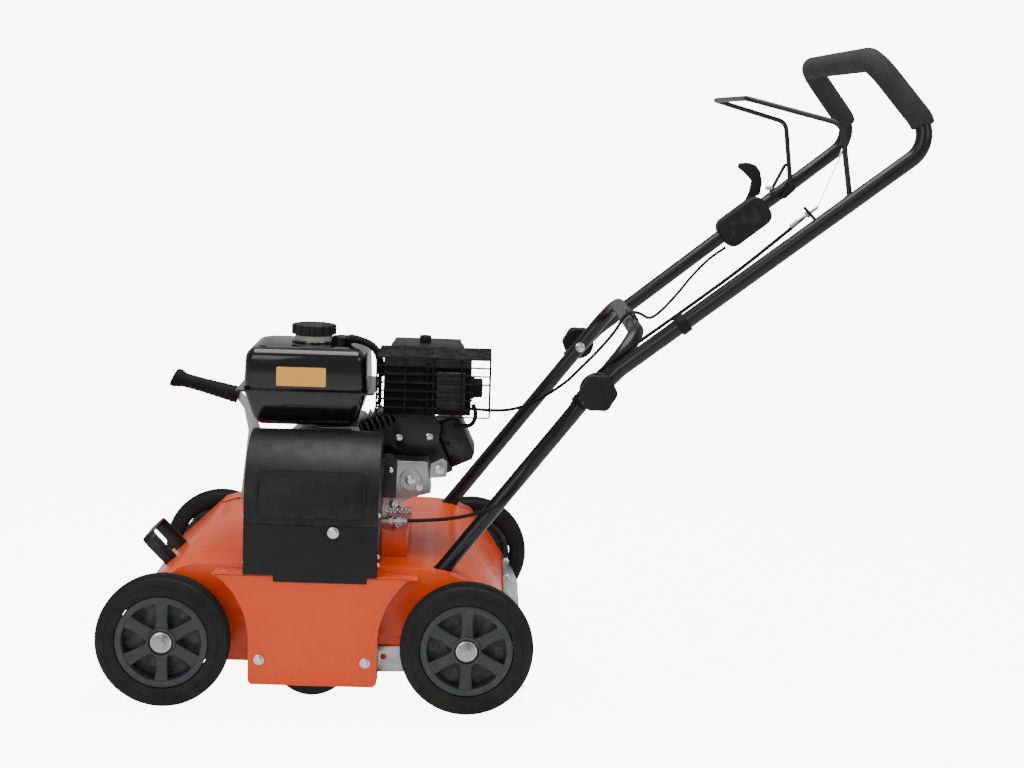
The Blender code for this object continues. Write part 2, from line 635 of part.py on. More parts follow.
def build_guard():
    """Wire cage round the muffler's outer side, both ends and top."""
    mesh = bmesh.new()
    back, front = -0.010, 0.122
    near, far = 0.0700, 0.2425
    bottom, top = 0.4180, 0.5070
    bays, rows, depths = 4, 7, 3
    along = [near + (far - near) * i / bays for i in range(bays + 1)]
    inward = [back + (front - back) * i / depths for i in range(depths)]
    corners = [(x, near) for x in inward] + [(front, y) for y in along] + [(x, far) for x in reversed(inward)]
    levels = [bottom + (top - bottom) * i / rows for i in range(rows + 1)]
    grid = [[mesh.verts.new((x, y, z)) for x, y in corners] for z in levels]
    rim = grid[-1]
    lid = [rim[depths:depths + bays + 1]]
    for i in range(1, depths + 1):
        middle = [mesh.verts.new((inward[-i], y, top)) for y in along[1:-1]]
        lid.append([rim[depths - i], *middle, rim[depths + bays + i]])
    for first, second in list(zip(grid, grid[1:])) + list(zip(lid, lid[1:])):
        for i in range(len(first) - 1):
            mesh.faces.new((first[i], first[i + 1], second[i + 1], second[i]))
    bmesh.ops.recalc_face_normals(mesh, faces=mesh.faces)
    guard = node("muffler_guard", mesh, BLACK_PAINT)
    wire = guard.modifiers.new("wires", "WIREFRAME")
    wire.thickness = 0.0026
    wire.use_boundary = True
    wire.use_replace = True
    wire.use_even_offset = False


def build_tank():
    """Glossy fuel tank with a seam flange, and its lobed cap on a short neck."""
    base, seam, lid = 0.394, 0.449, 0.5135
    centre = Vector((0.0315, -0.040, 0.0))
    tank = block((-0.055, -0.1335, base), (0.118, 0.054, lid), 0.016, 3)
    for vert in tank.verts:
        share = (seam - vert.co.z) / (seam - base)
        taper = 0.17 * share if share > 0 else -0.03 * share
        vert.co.x += (centre.x - vert.co.x) * taper
        vert.co.y += (centre.y - vert.co.y) * taper
    obj = node("fuel_tank", tank, BLACK_GLOSS)
    flange = [(-0.063, -0.1435), (0.126, -0.1435), (0.126, 0.0665), (-0.063, 0.0665)]
    add(obj, plate(flange, seam - 0.0015, seam + 0.0015, "Z"))
    neck = (0.030, -0.0344)
    foot, rim, collar, throat = lid - 0.008, 0.519, 0.0325, 0.028
    mouth = 0.5275
    add(obj, turned([(foot, 0), (foot, collar), (rim, collar), (rim, throat), (mouth, throat), (mouth, 0)],
                    neck, "Z", 24))
    lobes = 8
    outline = []
    for i in range(lobes * 4):
        angle = math.tau * i / (lobes * 4)
        radius = 0.0332 + 0.0016 * math.cos(lobes * angle)
        outline.append((neck[0] + radius * math.cos(angle), neck[1] + radius * math.sin(angle)))
    low = mouth + GAP
    node("fuel_cap", plate(outline, low, low + 0.0160, "Z"), BLACK_SATIN, (*neck, low))


def build_engine_fittings():
    lid = 0.5030
    node("air_filter_box", block((-0.147, 0.078, 0.4300), (-0.018, 0.200, lid), 0.012, 3), BLACK_SATIN)
    knob = (-0.080, 0.1363)
    low = lid + GAP
    node("air_filter_knob", plate(circle(knob, 0.0095, 12), low, low + 0.0142, "Z"), BLACK_SATIN, (*knob, low))
    node("carburettor", block((-0.118, 0.096, 0.350), (-0.0583, 0.142, 0.4297), 0.006, 2), ALUMINIUM)
    lever = [(0.118, 0.392), (0.126, 0.388), (0.134, 0.392), (0.131, 0.421), (0.121, 0.421)]
    node("choke_lever", plate(lever, -0.1215, -0.1190), BLACK_SATIN, (-0.1190, 0.126, 0.395))
    drum = [(-0.160, 0), (-0.160, 0.045), (-0.150, 0.070), (-0.135, 0.0840), (-0.0755, 0.0840), (-0.0755, 0)]
    node("recoil_housing", turned(drum, ENGINE_CRANK, "X", 28), BLACK_SATIN)
    start = Vector((-0.156, 0.0900, 0.3440))
    grip = block((-0.017, -0.0065, -0.009), (0.017, 0.0065, 0.009), 0.003, 2)
    bmesh.ops.transform(grip, matrix=Matrix.Translation(start) @ Matrix.Rotation(TILT, 4, "X"), verts=grip.verts)
    node("starter_grip", grip, BLACK_SATIN, tuple(start))
    spark = [(0.0, 0), (0.0, 0.007), (0.022, 0.0085), (0.030, 0.0060), (0.038, 0.0045), (0.038, 0)]
    plug = turned(spark, (0, 0), "X", 12)
    away = in_cylinder(0.1705, 0.0)
    place = Matrix.Translation((-0.0585, away[0], away[1])) @ Matrix.Rotation(math.pi, 4, "Z")
    bmesh.ops.transform(plug, matrix=place, verts=plug.verts)
    node("spark_plug_cap", plug, RUBBER)
    cap = [(-0.1003, 0), (-0.1003, 0.0115), (-0.112, 0.0105), (-0.118, 0.006), (-0.118, 0)]
    node("oil_filler_cap", turned(cap, (0.040, 0.275), "Y", 16), GREY_PLASTIC, (0.040, -0.1003, 0.275))


# Handle and controls
HANDLE_BEND = ((UPPER_X, 0.440, 0.5215), (0.292, 0.882, 0.874))


def upper_path():
    side = [(UPPER_X, 0.388, 0.4665), *HANDLE_BEND, (0.262, *GRIP)]
    path = side + [(-x, y, z) for x, y, z in side[::-1]]
    return rounded(path, 0.045, 4)


def build_handles():
    side = [lower_point(-0.425), lower_point(0.101)]
    path = rounded(side + [(-x, y, z) for x, y, z in side[::-1]], 0.055, 4)
    bore = TUBE_R - TUBE_WALL
    lower = node("lower_handle", tube(path, TUBE_R, TUBE_SIDES, bore), BLACK_PAINT)
    fold = (0.0, *FOLD)
    upper = node("upper_handle", tube(upper_path(), TUBE_R, TUBE_SIDES, bore), BLACK_PAINT, fold)
    for sign in (-1, 1):
        for handle, x in ((lower, LOWER_X), (upper, UPPER_X)):
            hole = [(sign * (x - 0.02), 0), (sign * (x - 0.02), 0.0042), (sign * (x + 0.02), 0.0042),
                    (sign * (x + 0.02), 0)]
            cut(handle, turned(hole, FOLD, "X", 12))
    sleeve_bore = (TUBE_R + 2 * GAP) / math.cos(math.pi / TUBE_SIDES) + GAP
    uncovered = 9
    sleeve = upper_path()[uncovered:-uncovered]
    node("grip_foam", tube(sleeve, GRIP_R, 12, sleeve_bore), RUBBER)
    for name, sign in (("left", 1), ("right", -1)):
        build_star_knob(f"star_knob_{name}", sign)


def build_star_knob(name, sign):
    face = UPPER_X + TUBE_R + GAP
    front = KNOB_OUT - 0.015
    shank = [(LOWER_X - TUBE_R - 0.004, 0), (LOWER_X - TUBE_R - 0.004, 0.0035), (face + 0.001, 0.0035),
             (face + 0.001, 0)]
    knob = node(name, turned([(sign * x, r) for x, r in shank], FOLD, "X", 12), BLACK_SATIN, (sign * face, *FOLD))
    hub = [(face, 0), (face, KNOB_R), (face + 0.006, KNOB_R), (face + 0.006, 0.015), (front + 0.002, 0.015),
           (front + 0.002, 0)]
    add(knob, turned([(sign * x, r) for x, r in hub], FOLD, "X", 24))
    lobes = 6
    outline = []
    for i in range(lobes * 6):
        angle = math.tau * i / (lobes * 6)
        radius = KNOB_R + 0.0014 * math.cos(lobes * angle)
        outline.append((FOLD[0] + radius * math.cos(angle), FOLD[1] + radius * math.sin(angle)))
    add(knob, plate(outline, sign * front, sign * KNOB_OUT))


def build_bail():
    """Wire bail that swings back on to the grip to engage the drive."""
    side = [(0.2706, *BAIL_PIVOT), (BAIL_X, *BAIL_PIVOT), (0.2500, 0.7506, 0.8930), (0.1900, 0.618, 0.926)]
    path = side + [(-x, y, z) for x, y, z in side[::-1]]
    bends = rounded(path[1:-1], 0.022, 4)
    node("bail", tube([path[0], *bends, path[-1]], BAIL_R, 8), BLACK_PAINT, (0.0, *BAIL_PIVOT))


def handle_point(y, x_shift=0.0, lift=0.0, side=1):
    """A point by the upper handle's straight stretch: y picks the place, lift is square to the tube."""
    start, end = Vector(HANDLE_BEND[0]), Vector(HANDLE_BEND[1])
    along = (end - start).normalized()
    point = start + (end - start) * ((y - start.y) / (end.y - start.y))
    up = Vector((0, -along.z, along.y))
    point = point + up * lift
    return Vector((side * (point.x + x_shift), point.y, point.z))


def build_throttle():
    """Housing clamped on the handle, and the thumb lever outside it."""
    start, end = HANDLE_BEND
    angle = math.atan2(end[2] - start[2], end[1] - start[1])
    middle = handle_point(0.6885, 0.0, -0.0025, -1)
    half_width, half_length, half_height = 0.019, 0.0485, 0.0275
    turn = Matrix.Translation(middle) @ Matrix.Rotation(angle, 4, "X")
    corners = [(half_length, -half_height), (half_length, half_height), (-half_length, half_height),
               (-half_length, -half_height)]
    outline = []
    for i, (u, v) in enumerate(corners):
        centre = (u - math.copysign(0.018, u), v - math.copysign(0.018, v))
        outline += circle(centre, 0.018, 5, math.radians(90 * i - 90), math.radians(90))
    body = plate(outline, -half_width, half_width)
    bmesh.ops.transform(body, matrix=turn, verts=body.verts)
    housing = node("throttle_housing", body, BLACK_SATIN)
    cut(housing, tube([handle_point(0.60, 0, 0, -1), handle_point(0.78, 0, 0, -1)], TUBE_R + 0.0006, 16))
    pivot = handle_point(0.697, 0.0, 0.006, -1)
    outer = middle.x - half_width - GAP
    outline = circle((pivot.y, pivot.z), 0.009, 8, math.radians(150), math.radians(180))
    outline += [(0.7125, 0.7620), (0.7195, 0.7651), (0.7222, 0.7863), (0.7182, 0.8053), (0.7099, 0.8165),
                (0.6962, 0.8208), (0.6790, 0.8192), (0.6774, 0.8115), (0.6875, 0.8042), (0.7027, 0.7895),
                (0.7000, 0.7700)]
    node("throttle_lever", plate(outline, outer - 0.0040, outer), BLACK_SATIN, (outer, pivot.y, pivot.z))


CLUTCH_ROUTE = [
    (0.2745, 0.6985, 0.7560), (0.2735, 0.6700, 0.7300), (0.2715, 0.6074, 0.6755), (0.2680, 0.5394, 0.6208),
    (0.2640, 0.4900, 0.5820), (0.2600, 0.4400, 0.5425), (0.2555, 0.4050, 0.5120), (0.2515, 0.3800, 0.4800),
    (0.2515, 0.3552, 0.4360), (0.2515, 0.3125, 0.3730), (0.2515, 0.2770, 0.3160), (0.2515, 0.2320, 0.2940),
    (0.2480, 0.1950, 0.2845), (0.2440, 0.1650, 0.2802), (0.2400, 0.1300, 0.2770), (0.2400, 0.0905, 0.2755),
]
THROTTLE_ROUTE = [
    (-0.2770, 0.6600, 0.6705), (-0.2620, 0.6295, 0.6496), (-0.2200, 0.5970, 0.6231), (-0.1600, 0.5679, 0.5993),
    (-0.0800, 0.5373, 0.5809), (-0.0100, 0.5140, 0.5735), (0.0400, 0.4985, 0.5760), (0.0750, 0.4840, 0.5855),
    (0.0900, 0.4690, 0.5895), (0.0970, 0.4560, 0.5820), (0.1000, 0.4430, 0.5600), (0.0950, 0.4186, 0.5280),
    (0.0850, 0.3921, 0.4974), (0.0700, 0.3696, 0.4716), (0.0500, 0.3392, 0.4458), (0.0350, 0.3154, 0.4291),
    (0.0200, 0.2837, 0.4165), (0.0080, 0.2546, 0.4123), (-0.0020, 0.2267, 0.4118), (-0.0080, 0.1850, 0.4135),
    (-0.0080, 0.1492, 0.4135),
]


def build_cables():
    node("clutch_cable", tube(smooth(CLUTCH_ROUTE, 0.022), CABLE_R, 8), RUBBER)
    node("throttle_cable", tube(smooth(THROTTLE_ROUTE, 0.022), CABLE_R, 8), RUBBER)


clear_scene()
build_deck()
build_wheels()
build_axles()
build_depth_lever()
build_rotor()
build_drive()
build_belt_covers()
build_engine()
build_handles()
build_bail()
build_throttle()
build_cables()
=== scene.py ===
import math

import bmesh
import bpy
from mathutils import Matrix, Vector
from mathutils.geometry import tessellate_polygon


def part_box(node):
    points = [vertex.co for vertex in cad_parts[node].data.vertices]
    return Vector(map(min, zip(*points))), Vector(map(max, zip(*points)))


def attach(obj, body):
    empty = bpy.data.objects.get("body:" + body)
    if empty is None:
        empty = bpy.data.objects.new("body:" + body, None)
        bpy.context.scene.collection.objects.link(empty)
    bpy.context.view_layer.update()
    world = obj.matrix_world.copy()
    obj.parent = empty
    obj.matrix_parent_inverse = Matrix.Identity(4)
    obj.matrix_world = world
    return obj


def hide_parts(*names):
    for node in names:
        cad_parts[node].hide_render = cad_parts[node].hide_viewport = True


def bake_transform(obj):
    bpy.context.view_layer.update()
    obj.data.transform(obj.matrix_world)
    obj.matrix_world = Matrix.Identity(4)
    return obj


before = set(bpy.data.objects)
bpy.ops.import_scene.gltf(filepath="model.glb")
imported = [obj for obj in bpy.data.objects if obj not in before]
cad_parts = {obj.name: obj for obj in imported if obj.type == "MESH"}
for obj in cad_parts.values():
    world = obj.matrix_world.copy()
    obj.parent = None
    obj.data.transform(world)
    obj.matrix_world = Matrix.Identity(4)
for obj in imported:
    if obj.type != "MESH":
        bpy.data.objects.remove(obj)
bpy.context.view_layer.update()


# Places: every y below is measured from the middle of the wheelbase, and SHIFT_Y takes it to the row frame
def centre_of(name):
    low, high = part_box(name)
    return (low + high) / 2


REAR, FRONT = centre_of("tyre_rear_left"), centre_of("tyre_front_left")
SHIFT_Y = (REAR.y + FRONT.y) / 2
HALF_BASE = (REAR.y - FRONT.y) / 2
AXLE_Z = REAR.z
WHEEL_R = REAR.z
WHEEL_X = REAR.x
ENGINE_AT = Vector((0.080, 0.0067, 0.0135))
ENGINE_CRANK = (0.0, 0.305)
TUBE_R = 0.012
LOWER_X, UPPER_X = 0.2355, 0.2610
FOLD = (0.407, 0.491)
GRIP = (0.788, 0.9875)
BAIL_PIVOT = (0.767, 0.782)
LEVER_X = -0.200
COVER_X = 0.305
HANDLE_BEND = ((UPPER_X, 0.440, 0.5215), (0.292, 0.882, 0.874))
UP_SLOPE = Vector((0.0, FOLD[0] - 0.187, FOLD[1] - 0.204)).normalized()


def P(x, y, z):
    return Vector((x, y + SHIFT_Y, z))


# Camera
SENSOR_WIDTH = 36.0
LENS = 63.19
CAMERA_AT = (2.9003, 0.2322, 0.8884)
CAMERA_RIGHT = (0.0134, 0.9993, 0.0343)
CAMERA_BACK = (0.9889, -0.0183, 0.1476)


def add_camera():
    data = bpy.data.cameras.new("camera")
    data.sensor_width = SENSOR_WIDTH
    data.lens = LENS
    camera = bpy.data.objects.new("camera", data)
    right = Vector(CAMERA_RIGHT).normalized()
    back = Vector(CAMERA_BACK).normalized()
    up = back.cross(right).normalized()
    right = up.cross(back)
    turn = Matrix((right, up, back)).transposed().to_4x4()
    camera.matrix_world = Matrix.Translation(P(*CAMERA_AT)) @ turn
    bpy.context.scene.collection.objects.link(camera)
    bpy.context.scene.camera = camera


add_camera()


# Mesh helpers
def circle(centre, radius, count=48, start=0.0, sweep=math.tau):
    full = abs(sweep - math.tau) < 1e-9
    steps = count if full else count - 1
    angles = [start + sweep * i / steps for i in range(count)]
    return [(centre[0] + radius * math.cos(a), centre[1] + radius * math.sin(a)) for a in angles]


def on_axis(u, v, along, axis):
    return {"X": (along, u, v), "Y": (u, along, v), "Z": (u, v, along)}[axis]


def plate(outline, low, high, axis="X", holes=()):
    mesh = bmesh.new()
    loops = [list(outline)] + [list(hole) for hole in holes]
    ends = [[[mesh.verts.new(on_axis(u, v, w, axis)) for u, v in loop] for loop in loops] for w in (low,
                                                                                                    high)]
    flat = [[Vector((u, v, 0)) for u, v in loop] for loop in loops]
    if holes:
        for triangle in tessellate_polygon(flat):
            for end in ends:
                verts = [vert for loop in end for vert in loop]
                mesh.faces.new([verts[i] for i in triangle])
    else:
        mesh.faces.new(ends[0][0])
        mesh.faces.new(ends[1][0])
    for first, second in zip(*ends):
        for i in range(len(first)):
            j = (i + 1) % len(first)
            mesh.faces.new((first[i], first[j], second[j], second[i]))
    bmesh.ops.recalc_face_normals(mesh, faces=mesh.faces)
    return mesh


def turned(profile, centre=(0, 0), axis="X", steps=48, ring=False):
    mesh = bmesh.new()
    rows = []
    for along, radius in profile:
        if radius == 0:
            rows.append([mesh.verts.new(on_axis(centre[0], centre[1], along, axis))] * steps)
            continue
        rows.append([mesh.verts.new(on_axis(u, v, along, axis)) for u, v in circle(centre, radius, steps)])
    pairs = list(zip(rows, rows[1:])) + ([(rows[-1], rows[0])] if ring else [])
    for first, second in pairs:
        for i in range(steps):
            j = (i + 1) % steps
            corners = list(dict.fromkeys((first[i], first[j], second[j], second[i])))
            if len(corners) > 2:
                mesh.faces.new(corners)
    bmesh.ops.recalc_face_normals(mesh, faces=mesh.faces)
    return mesh


def block(low, high, bevel=0.0, segments=4):
    mesh = bmesh.new()
    bmesh.ops.create_cube(mesh, size=1.0)
    for vert in mesh.verts:
        for i in range(3):
            vert.co[i] = high[i] if vert.co[i] > 0 else low[i]
    if bevel:
        bmesh.ops.bevel(mesh, geom=mesh.edges[:], offset=bevel, segments=segments, affect="EDGES",
                        profile=0.5)
    return mesh


def rounded(points, radius, steps=12):
    path = [Vector(points[0])]
    for before, corner, after in zip(points, points[1:], points[2:]):
        corner = Vector(corner)
        come = (corner - Vector(before)).normalized()
        leave = (Vector(after) - corner).normalized()
        half = come.angle(leave) / 2
        if half < 0.01:
            path.append(corner)
            continue
        reach = radius * math.tan(half)
        centre = corner + (leave - come).normalized() * (radius / math.cos(half))
        begin = corner - come * reach - centre
        finish = corner + leave * reach - centre
        for i in range(steps + 1):
            path.append(centre + begin.slerp(finish, i / steps).normalized() * radius)
    path.append(Vector(points[-1]))
    return path


def smooth(points, spacing):
    knots = [Vector(p) for p in points]
    knots = [2 * knots[0] - knots[1]] + knots + [2 * knots[-1] - knots[-2]]
    path = []
    for a, b, c, d in zip(knots, knots[1:], knots[2:], knots[3:]):
        count = max(1, round((c - b).length / spacing))
        for i in range(count):
            t = i / count
            path.append(0.5 * ((2 * b) + (c - a) * t + (2 * a - 5 * b + 4 * c - d) * t * t
                               + (3 * b - a - 3 * c + d) * t * t * t))
    path.append(knots[-2])
    return path


def frames(path):
    tangents = [(path[min(i + 1, len(path) - 1)] - path[max(i - 1,
                                                            0)]).normalized() for i in range(len(path))]
    side = tangents[0].orthogonal().normalized()
    found = []
    for tangent in tangents:
        side = (side - tangent * side.dot(tangent)).normalized()
        found.append((side, tangent.cross(side)))
    return found


def tube(path, radius, sides=24):
    """A round rod along a path. radius is a number, or one number for each point."""
    mesh = bmesh.new()
    path = [Vector(p) for p in path]
    radii = radius if isinstance(radius, list) else [radius] * len(path)
    rows = []
    for point, r, (side, up) in zip(path, radii, frames(path)):
        angles = [math.tau * k / sides for k in range(sides)]
        rows.append([mesh.verts.new(point + side * (r * math.cos(a)) + up * (r * math.sin(a))) for a in angles])
    for first, second in zip(rows, rows[1:]):
        for k in range(sides):
            mesh.faces.new((first[k], first[(k + 1) % sides], second[(k + 1) % sides], second[k]))
    mesh.faces.new(rows[0])
    mesh.faces.new(rows[-1])
    bmesh.ops.recalc_face_normals(mesh, faces=mesh.faces)
    return mesh


def joined(*meshes):
    whole = meshes[0]
    for other in meshes[1:]:
        data = bpy.data.meshes.new("part")
        other.to_mesh(data)
        other.free()
        whole.from_mesh(data)
        bpy.data.meshes.remove(data)
    return whole


def moved(mesh, matrix):
    bmesh.ops.transform(mesh, matrix=matrix, verts=mesh.verts)
    return mesh


def facing(direction, at=(0, 0, 0)):
    """The matrix that turns +X towards a direction, then moves to a place."""
    turn = Vector((1, 0, 0)).rotation_difference(Vector(direction).normalized()).to_matrix().to_4x4()
    return Matrix.Translation(Vector(at)) @ turn


def soft_box(half_u, half_v, radius, steps=6):
    """The outline of a rectangle with round corners, centred on nought."""
    points = []
    for i, (u, v) in enumerate(((half_u, -half_v), (half_u, half_v), (-half_u, half_v), (-half_u, -half_v))):
        centre = (u - math.copysign(radius, u), v - math.copysign(radius, v))
        points += circle(centre, radius, steps, math.radians(90 * i - 90), math.radians(90))
    return points


# Materials
def finish(name, colour, roughness, metallic=0.0, tone=0.12, spread=0.08, grain=500.0, bump=0.12, wear=None,
           coat=0.0, stretch=(1, 1, 1), dust=0.0, shine=0.5):
    """A procedural finish: mottled colour, uneven roughness, fine bump, worn edges, and dust low down."""
    material = bpy.data.materials.new(name)
    material.use_nodes = True
    nodes, links = material.node_tree.nodes, material.node_tree.links
    shader = nodes["Principled BSDF"]
    shader.inputs["Metallic"].default_value = metallic
    shader.inputs["Coat Weight"].default_value = coat
    shader.inputs["Coat Roughness"].default_value = 0.06
    shader.inputs["Specular IOR Level"].default_value = shine
    place = nodes.new("ShaderNodeTexCoord")
    scale = nodes.new("ShaderNodeMapping")
    scale.inputs["Scale"].default_value = stretch
    links.new(place.outputs["Object"], scale.inputs["Vector"])

    def noise(size, detail):
        found = nodes.new("ShaderNodeTexNoise")
        found.inputs["Scale"].default_value = size
        found.inputs["Detail"].default_value = detail
        links.new(scale.outputs["Vector"], found.inputs["Vector"])
        return found.outputs["Fac"]

    def span(source, low, high, to_low, to_high):
        found = nodes.new("ShaderNodeMapRange")
        links.new(source, found.inputs["Value"])
        for socket, value in zip(("From Min", "From Max", "To Min", "To Max"), (low, high, to_low, to_high)):
            found.inputs[socket].default_value = value
        return found.outputs["Result"]

    def mix(amount, first, second):
        found = nodes.new("ShaderNodeMix")
        found.data_type = "RGBA"
        links.new(amount, found.inputs[0])
        for value, socket in ((first, found.inputs[6]), (second, found.inputs[7])):
            if isinstance(value, tuple):
                socket.default_value = (*value, 1.0)
            else:
                links.new(value, socket)
        return found.outputs[2]

    dark = tuple(c * (1 - tone) for c in colour)
    light = tuple(min(1.0, c * (1 + tone)) for c in colour)
    shade = mix(span(noise(14.0, 6.0), 0.3, 0.7, 0.0, 1.0), dark, light)
    if dust:
        parts = nodes.new("ShaderNodeSeparateXYZ")
        links.new(place.outputs["Object"], parts.inputs["Vector"])
        low = span(parts.outputs["Z"], 0.0, 0.22, dust, 0.0)
        speck = nodes.new("ShaderNodeMath")
        speck.operation = "MULTIPLY"
        links.new(low, speck.inputs[0])
        links.new(span(noise(45.0, 8.0), 0.42, 0.68, 0.0, 1.0), speck.inputs[1])
        shade = mix(speck.outputs[0], shade, (0.30, 0.26, 0.21))
    if wear:
        edge = nodes.new("ShaderNodeNewGeometry")
        rub = nodes.new("ShaderNodeMath")
        rub.operation = "MULTIPLY"
        links.new(span(edge.outputs["Pointiness"], 0.53, 0.62, 0.0, 0.7), rub.inputs[0])
        links.new(span(noise(70.0, 4.0), 0.45, 0.6, 0.0, 1.0), rub.inputs[1])
        shade = mix(rub.outputs[0], shade, wear)
    links.new(shade, shader.inputs["Base Color"])
    rough = span(noise(38.0, 5.0), 0.3, 0.7, max(0.02, roughness - spread), min(1.0, roughness + spread))
    links.new(rough, shader.inputs["Roughness"])
    relief = nodes.new("ShaderNodeBump")
    relief.inputs["Strength"].default_value = bump
    relief.inputs["Distance"].default_value = 0.0006
    links.new(noise(grain, 3.0), relief.inputs["Height"])
    links.new(relief.outputs["Normal"], shader.inputs["Normal"])
    return material


ORANGE = finish("orange_powder_coat", (0.74, 0.060, 0.002), 0.34, tone=0.03, spread=0.05, grain=900,
                bump=0.05,
                wear=(0.42, 0.06, 0.02), coat=0.15, dust=0.03, shine=0.3)
GLOSS = finish("tank_gloss_black", (0.004, 0.004, 0.005), 0.12, spread=0.04, grain=260, bump=0.02,
               wear=(0.03, 0.03, 0.03), coat=0.35, shine=0.3)
PLASTIC = finish("moulded_black", (0.0075, 0.0075, 0.008), 0.46, grain=1500, bump=0.25,
                 wear=(0.03, 0.03, 0.03),
                 dust=0.02, shine=0.22)
PAINT = finish("satin_black_paint", (0.0065, 0.0065, 0.007), 0.32, grain=900, bump=0.06,
               wear=(0.05, 0.05, 0.05),
               coat=0.10, dust=0.02, shine=0.3)
MUFFLER = finish("heat_black_paint", (0.0035, 0.0035, 0.0035), 0.62, grain=800, bump=0.2,
                 wear=(0.03, 0.03, 0.03),
                 shine=0.12)
RUBBER = finish("rubber_black", (0.0070, 0.0070, 0.0070), 0.70, grain=1200, bump=0.3, shine=0.18)
FOAM = finish("grip_foam_black", (0.030, 0.030, 0.031), 0.92, grain=1900, bump=0.9, tone=0.25, shine=0.25)
TYRE = finish("tyre_rubber", (0.0075, 0.0075, 0.008), 0.60, grain=900, bump=0.3, wear=(0.03, 0.03, 0.03),
              dust=0.03,
              shine=0.2)
RIM = finish("rim_grey", (0.030, 0.034, 0.036), 0.42, grain=1300, bump=0.2, wear=(0.10, 0.10, 0.10),
             dust=0.03,
             shine=0.3)
ZINC = finish("galvanised", (0.40, 0.41, 0.43), 0.36, 1.0, tone=0.12, spread=0.12, grain=320, bump=0.15)
STEEL = finish("machined_steel", (0.34, 0.34, 0.35), 0.30, 1.0, grain=700, bump=0.12, stretch=(6, 1, 1),
               dust=0.1)
BRIGHT = finish("zinc_bolt", (0.60, 0.60, 0.62), 0.24, 1.0, tone=0.06, grain=900, bump=0.06)
CAST = finish("cast_aluminium", (0.36, 0.37, 0.38), 0.42, 1.0, spread=0.12, grain=420, bump=0.45)
CREAM = finish("neck_grey_plastic", (0.40, 0.40, 0.38), 0.4, grain=900, bump=0.1)
AMBER = finish("blank_label", (0.80, 0.36, 0.05), 0.35, tone=0.03, grain=600, bump=0.03, coat=0.2)


# Pieces
def piece(name, mesh, look, slot, body, replaces=(), bevel=0.0, segments=3, at=(0, 0, 0), angle=38,
          bends=None):
    data = bpy.data.meshes.new(name)
    moved(mesh, Matrix.Translation(Vector(at) + Vector((0, SHIFT_Y, 0))))
    mesh.to_mesh(data)
    mesh.free()
    data.shade_smooth()
    data.set_sharp_from_angle(angle=math.radians(angle))
    data.materials.append(look)
    obj = bpy.data.objects.new(name, data)
    bpy.context.scene.collection.objects.link(obj)
    if bevel:
        edge = obj.modifiers.new("edges", "BEVEL")
        edge.width = bevel
        edge.segments = segments
        edge.angle_limit = math.radians(40)
        edge.harden_normals = True
    if bends:
        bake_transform(obj)
    else:
        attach(obj, body)
    if replaces:
        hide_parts(*replaces)
    return obj


def geometry_group(name, build):
    tree = bpy.data.node_groups.new(name, "GeometryNodeTree")
    tree.interface.new_socket("Geometry", in_out="INPUT", socket_type="NodeSocketGeometry")
    tree.interface.new_socket("Geometry", in_out="OUTPUT", socket_type="NodeSocketGeometry")
    start, end = tree.nodes.new("NodeGroupInput"), tree.nodes.new("NodeGroupOutput")
    last = build(tree, start.outputs[0])
    tree.links.new(last, end.inputs[0])
    return tree


def weld(tree, source):
    strip = tree.nodes.new("GeometryNodeRemoveAttribute")
    strip.inputs["Name"].default_value = "custom_normal"
    merge = tree.nodes.new("GeometryNodeMergeByDistance")
    merge.inputs["Distance"].default_value = 1e-5
    tree.links.new(source, strip.inputs["Geometry"])
    tree.links.new(strip.outputs["Geometry"], merge.inputs["Geometry"])
    return merge.outputs["Geometry"]


def soften(tree, source):
    angle = tree.nodes.new("GeometryNodeInputMeshEdgeAngle")
    sharp = tree.nodes.new("FunctionNodeCompare")
    sharp.inputs[1].default_value = math.radians(40)
    tree.links.new(angle.outputs["Unsigned Angle"], sharp.inputs[0])
    faces = tree.nodes.new("GeometryNodeSetShadeSmooth")
    faces.domain = "FACE"
    edges = tree.nodes.new("GeometryNodeSetShadeSmooth")
    edges.domain = "EDGE"
    edges.inputs["Shade Smooth"].default_value = False
    tree.links.new(source, faces.inputs["Geometry"])
    tree.links.new(faces.outputs["Geometry"], edges.inputs["Geometry"])
    tree.links.new(sharp.outputs[0], edges.inputs["Selection"])
    return edges.outputs["Geometry"]


WELD = geometry_group("weld_faces", weld)
SOFTEN = geometry_group("smooth_by_angle", soften)


def dress(names, look, bevel=0.0008, segments=2):
    """Gives CAD nodes their finish, small round edges and smooth curved faces."""
    for name in names.split():
        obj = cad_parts[name]
        obj.data.materials.clear()
        obj.data.materials.append(look)
        obj.modifiers.new("weld", "NODES").node_group = WELD
        if bevel:
            edge = obj.modifiers.new("edges", "BEVEL")
            edge.width = bevel
            edge.segments = segments
            edge.angle_limit = math.radians(42)
        obj.modifiers.new("smooth", "NODES").node_group = SOFTEN


def hex_bolt(name, at, direction, body, size=0.006, height=0.005, washer=0.0, slot="steel", look=None):
    """A hexagon head on a washer, standing on a face. size is the head's corner radius."""
    base = 0.0
    parts = []
    if washer:
        parts.append(turned([(-0.0004, 0), (-0.0004, washer), (0.0011, washer), (0.0015, washer - 0.0006),
                             (0.0015, 0)],
                            steps=32))
        base = 0.0014
    head = plate(circle((0, 0), size, 6, 0.3), base, base + height)
    bmesh.ops.bevel(head, geom=head.edges[:], offset=size * 0.10, segments=2, affect="EDGES", profile=0.5)
    dome = turned([(base + height - 0.0004, size * 0.80), (base + height + 0.0004, size * 0.70),
                   (base + height + 0.0006, 0)], steps=24)
    mesh = moved(joined(head, dome, *parts), facing(direction, at))
    return piece(name, mesh, look or BRIGHT, slot, body)


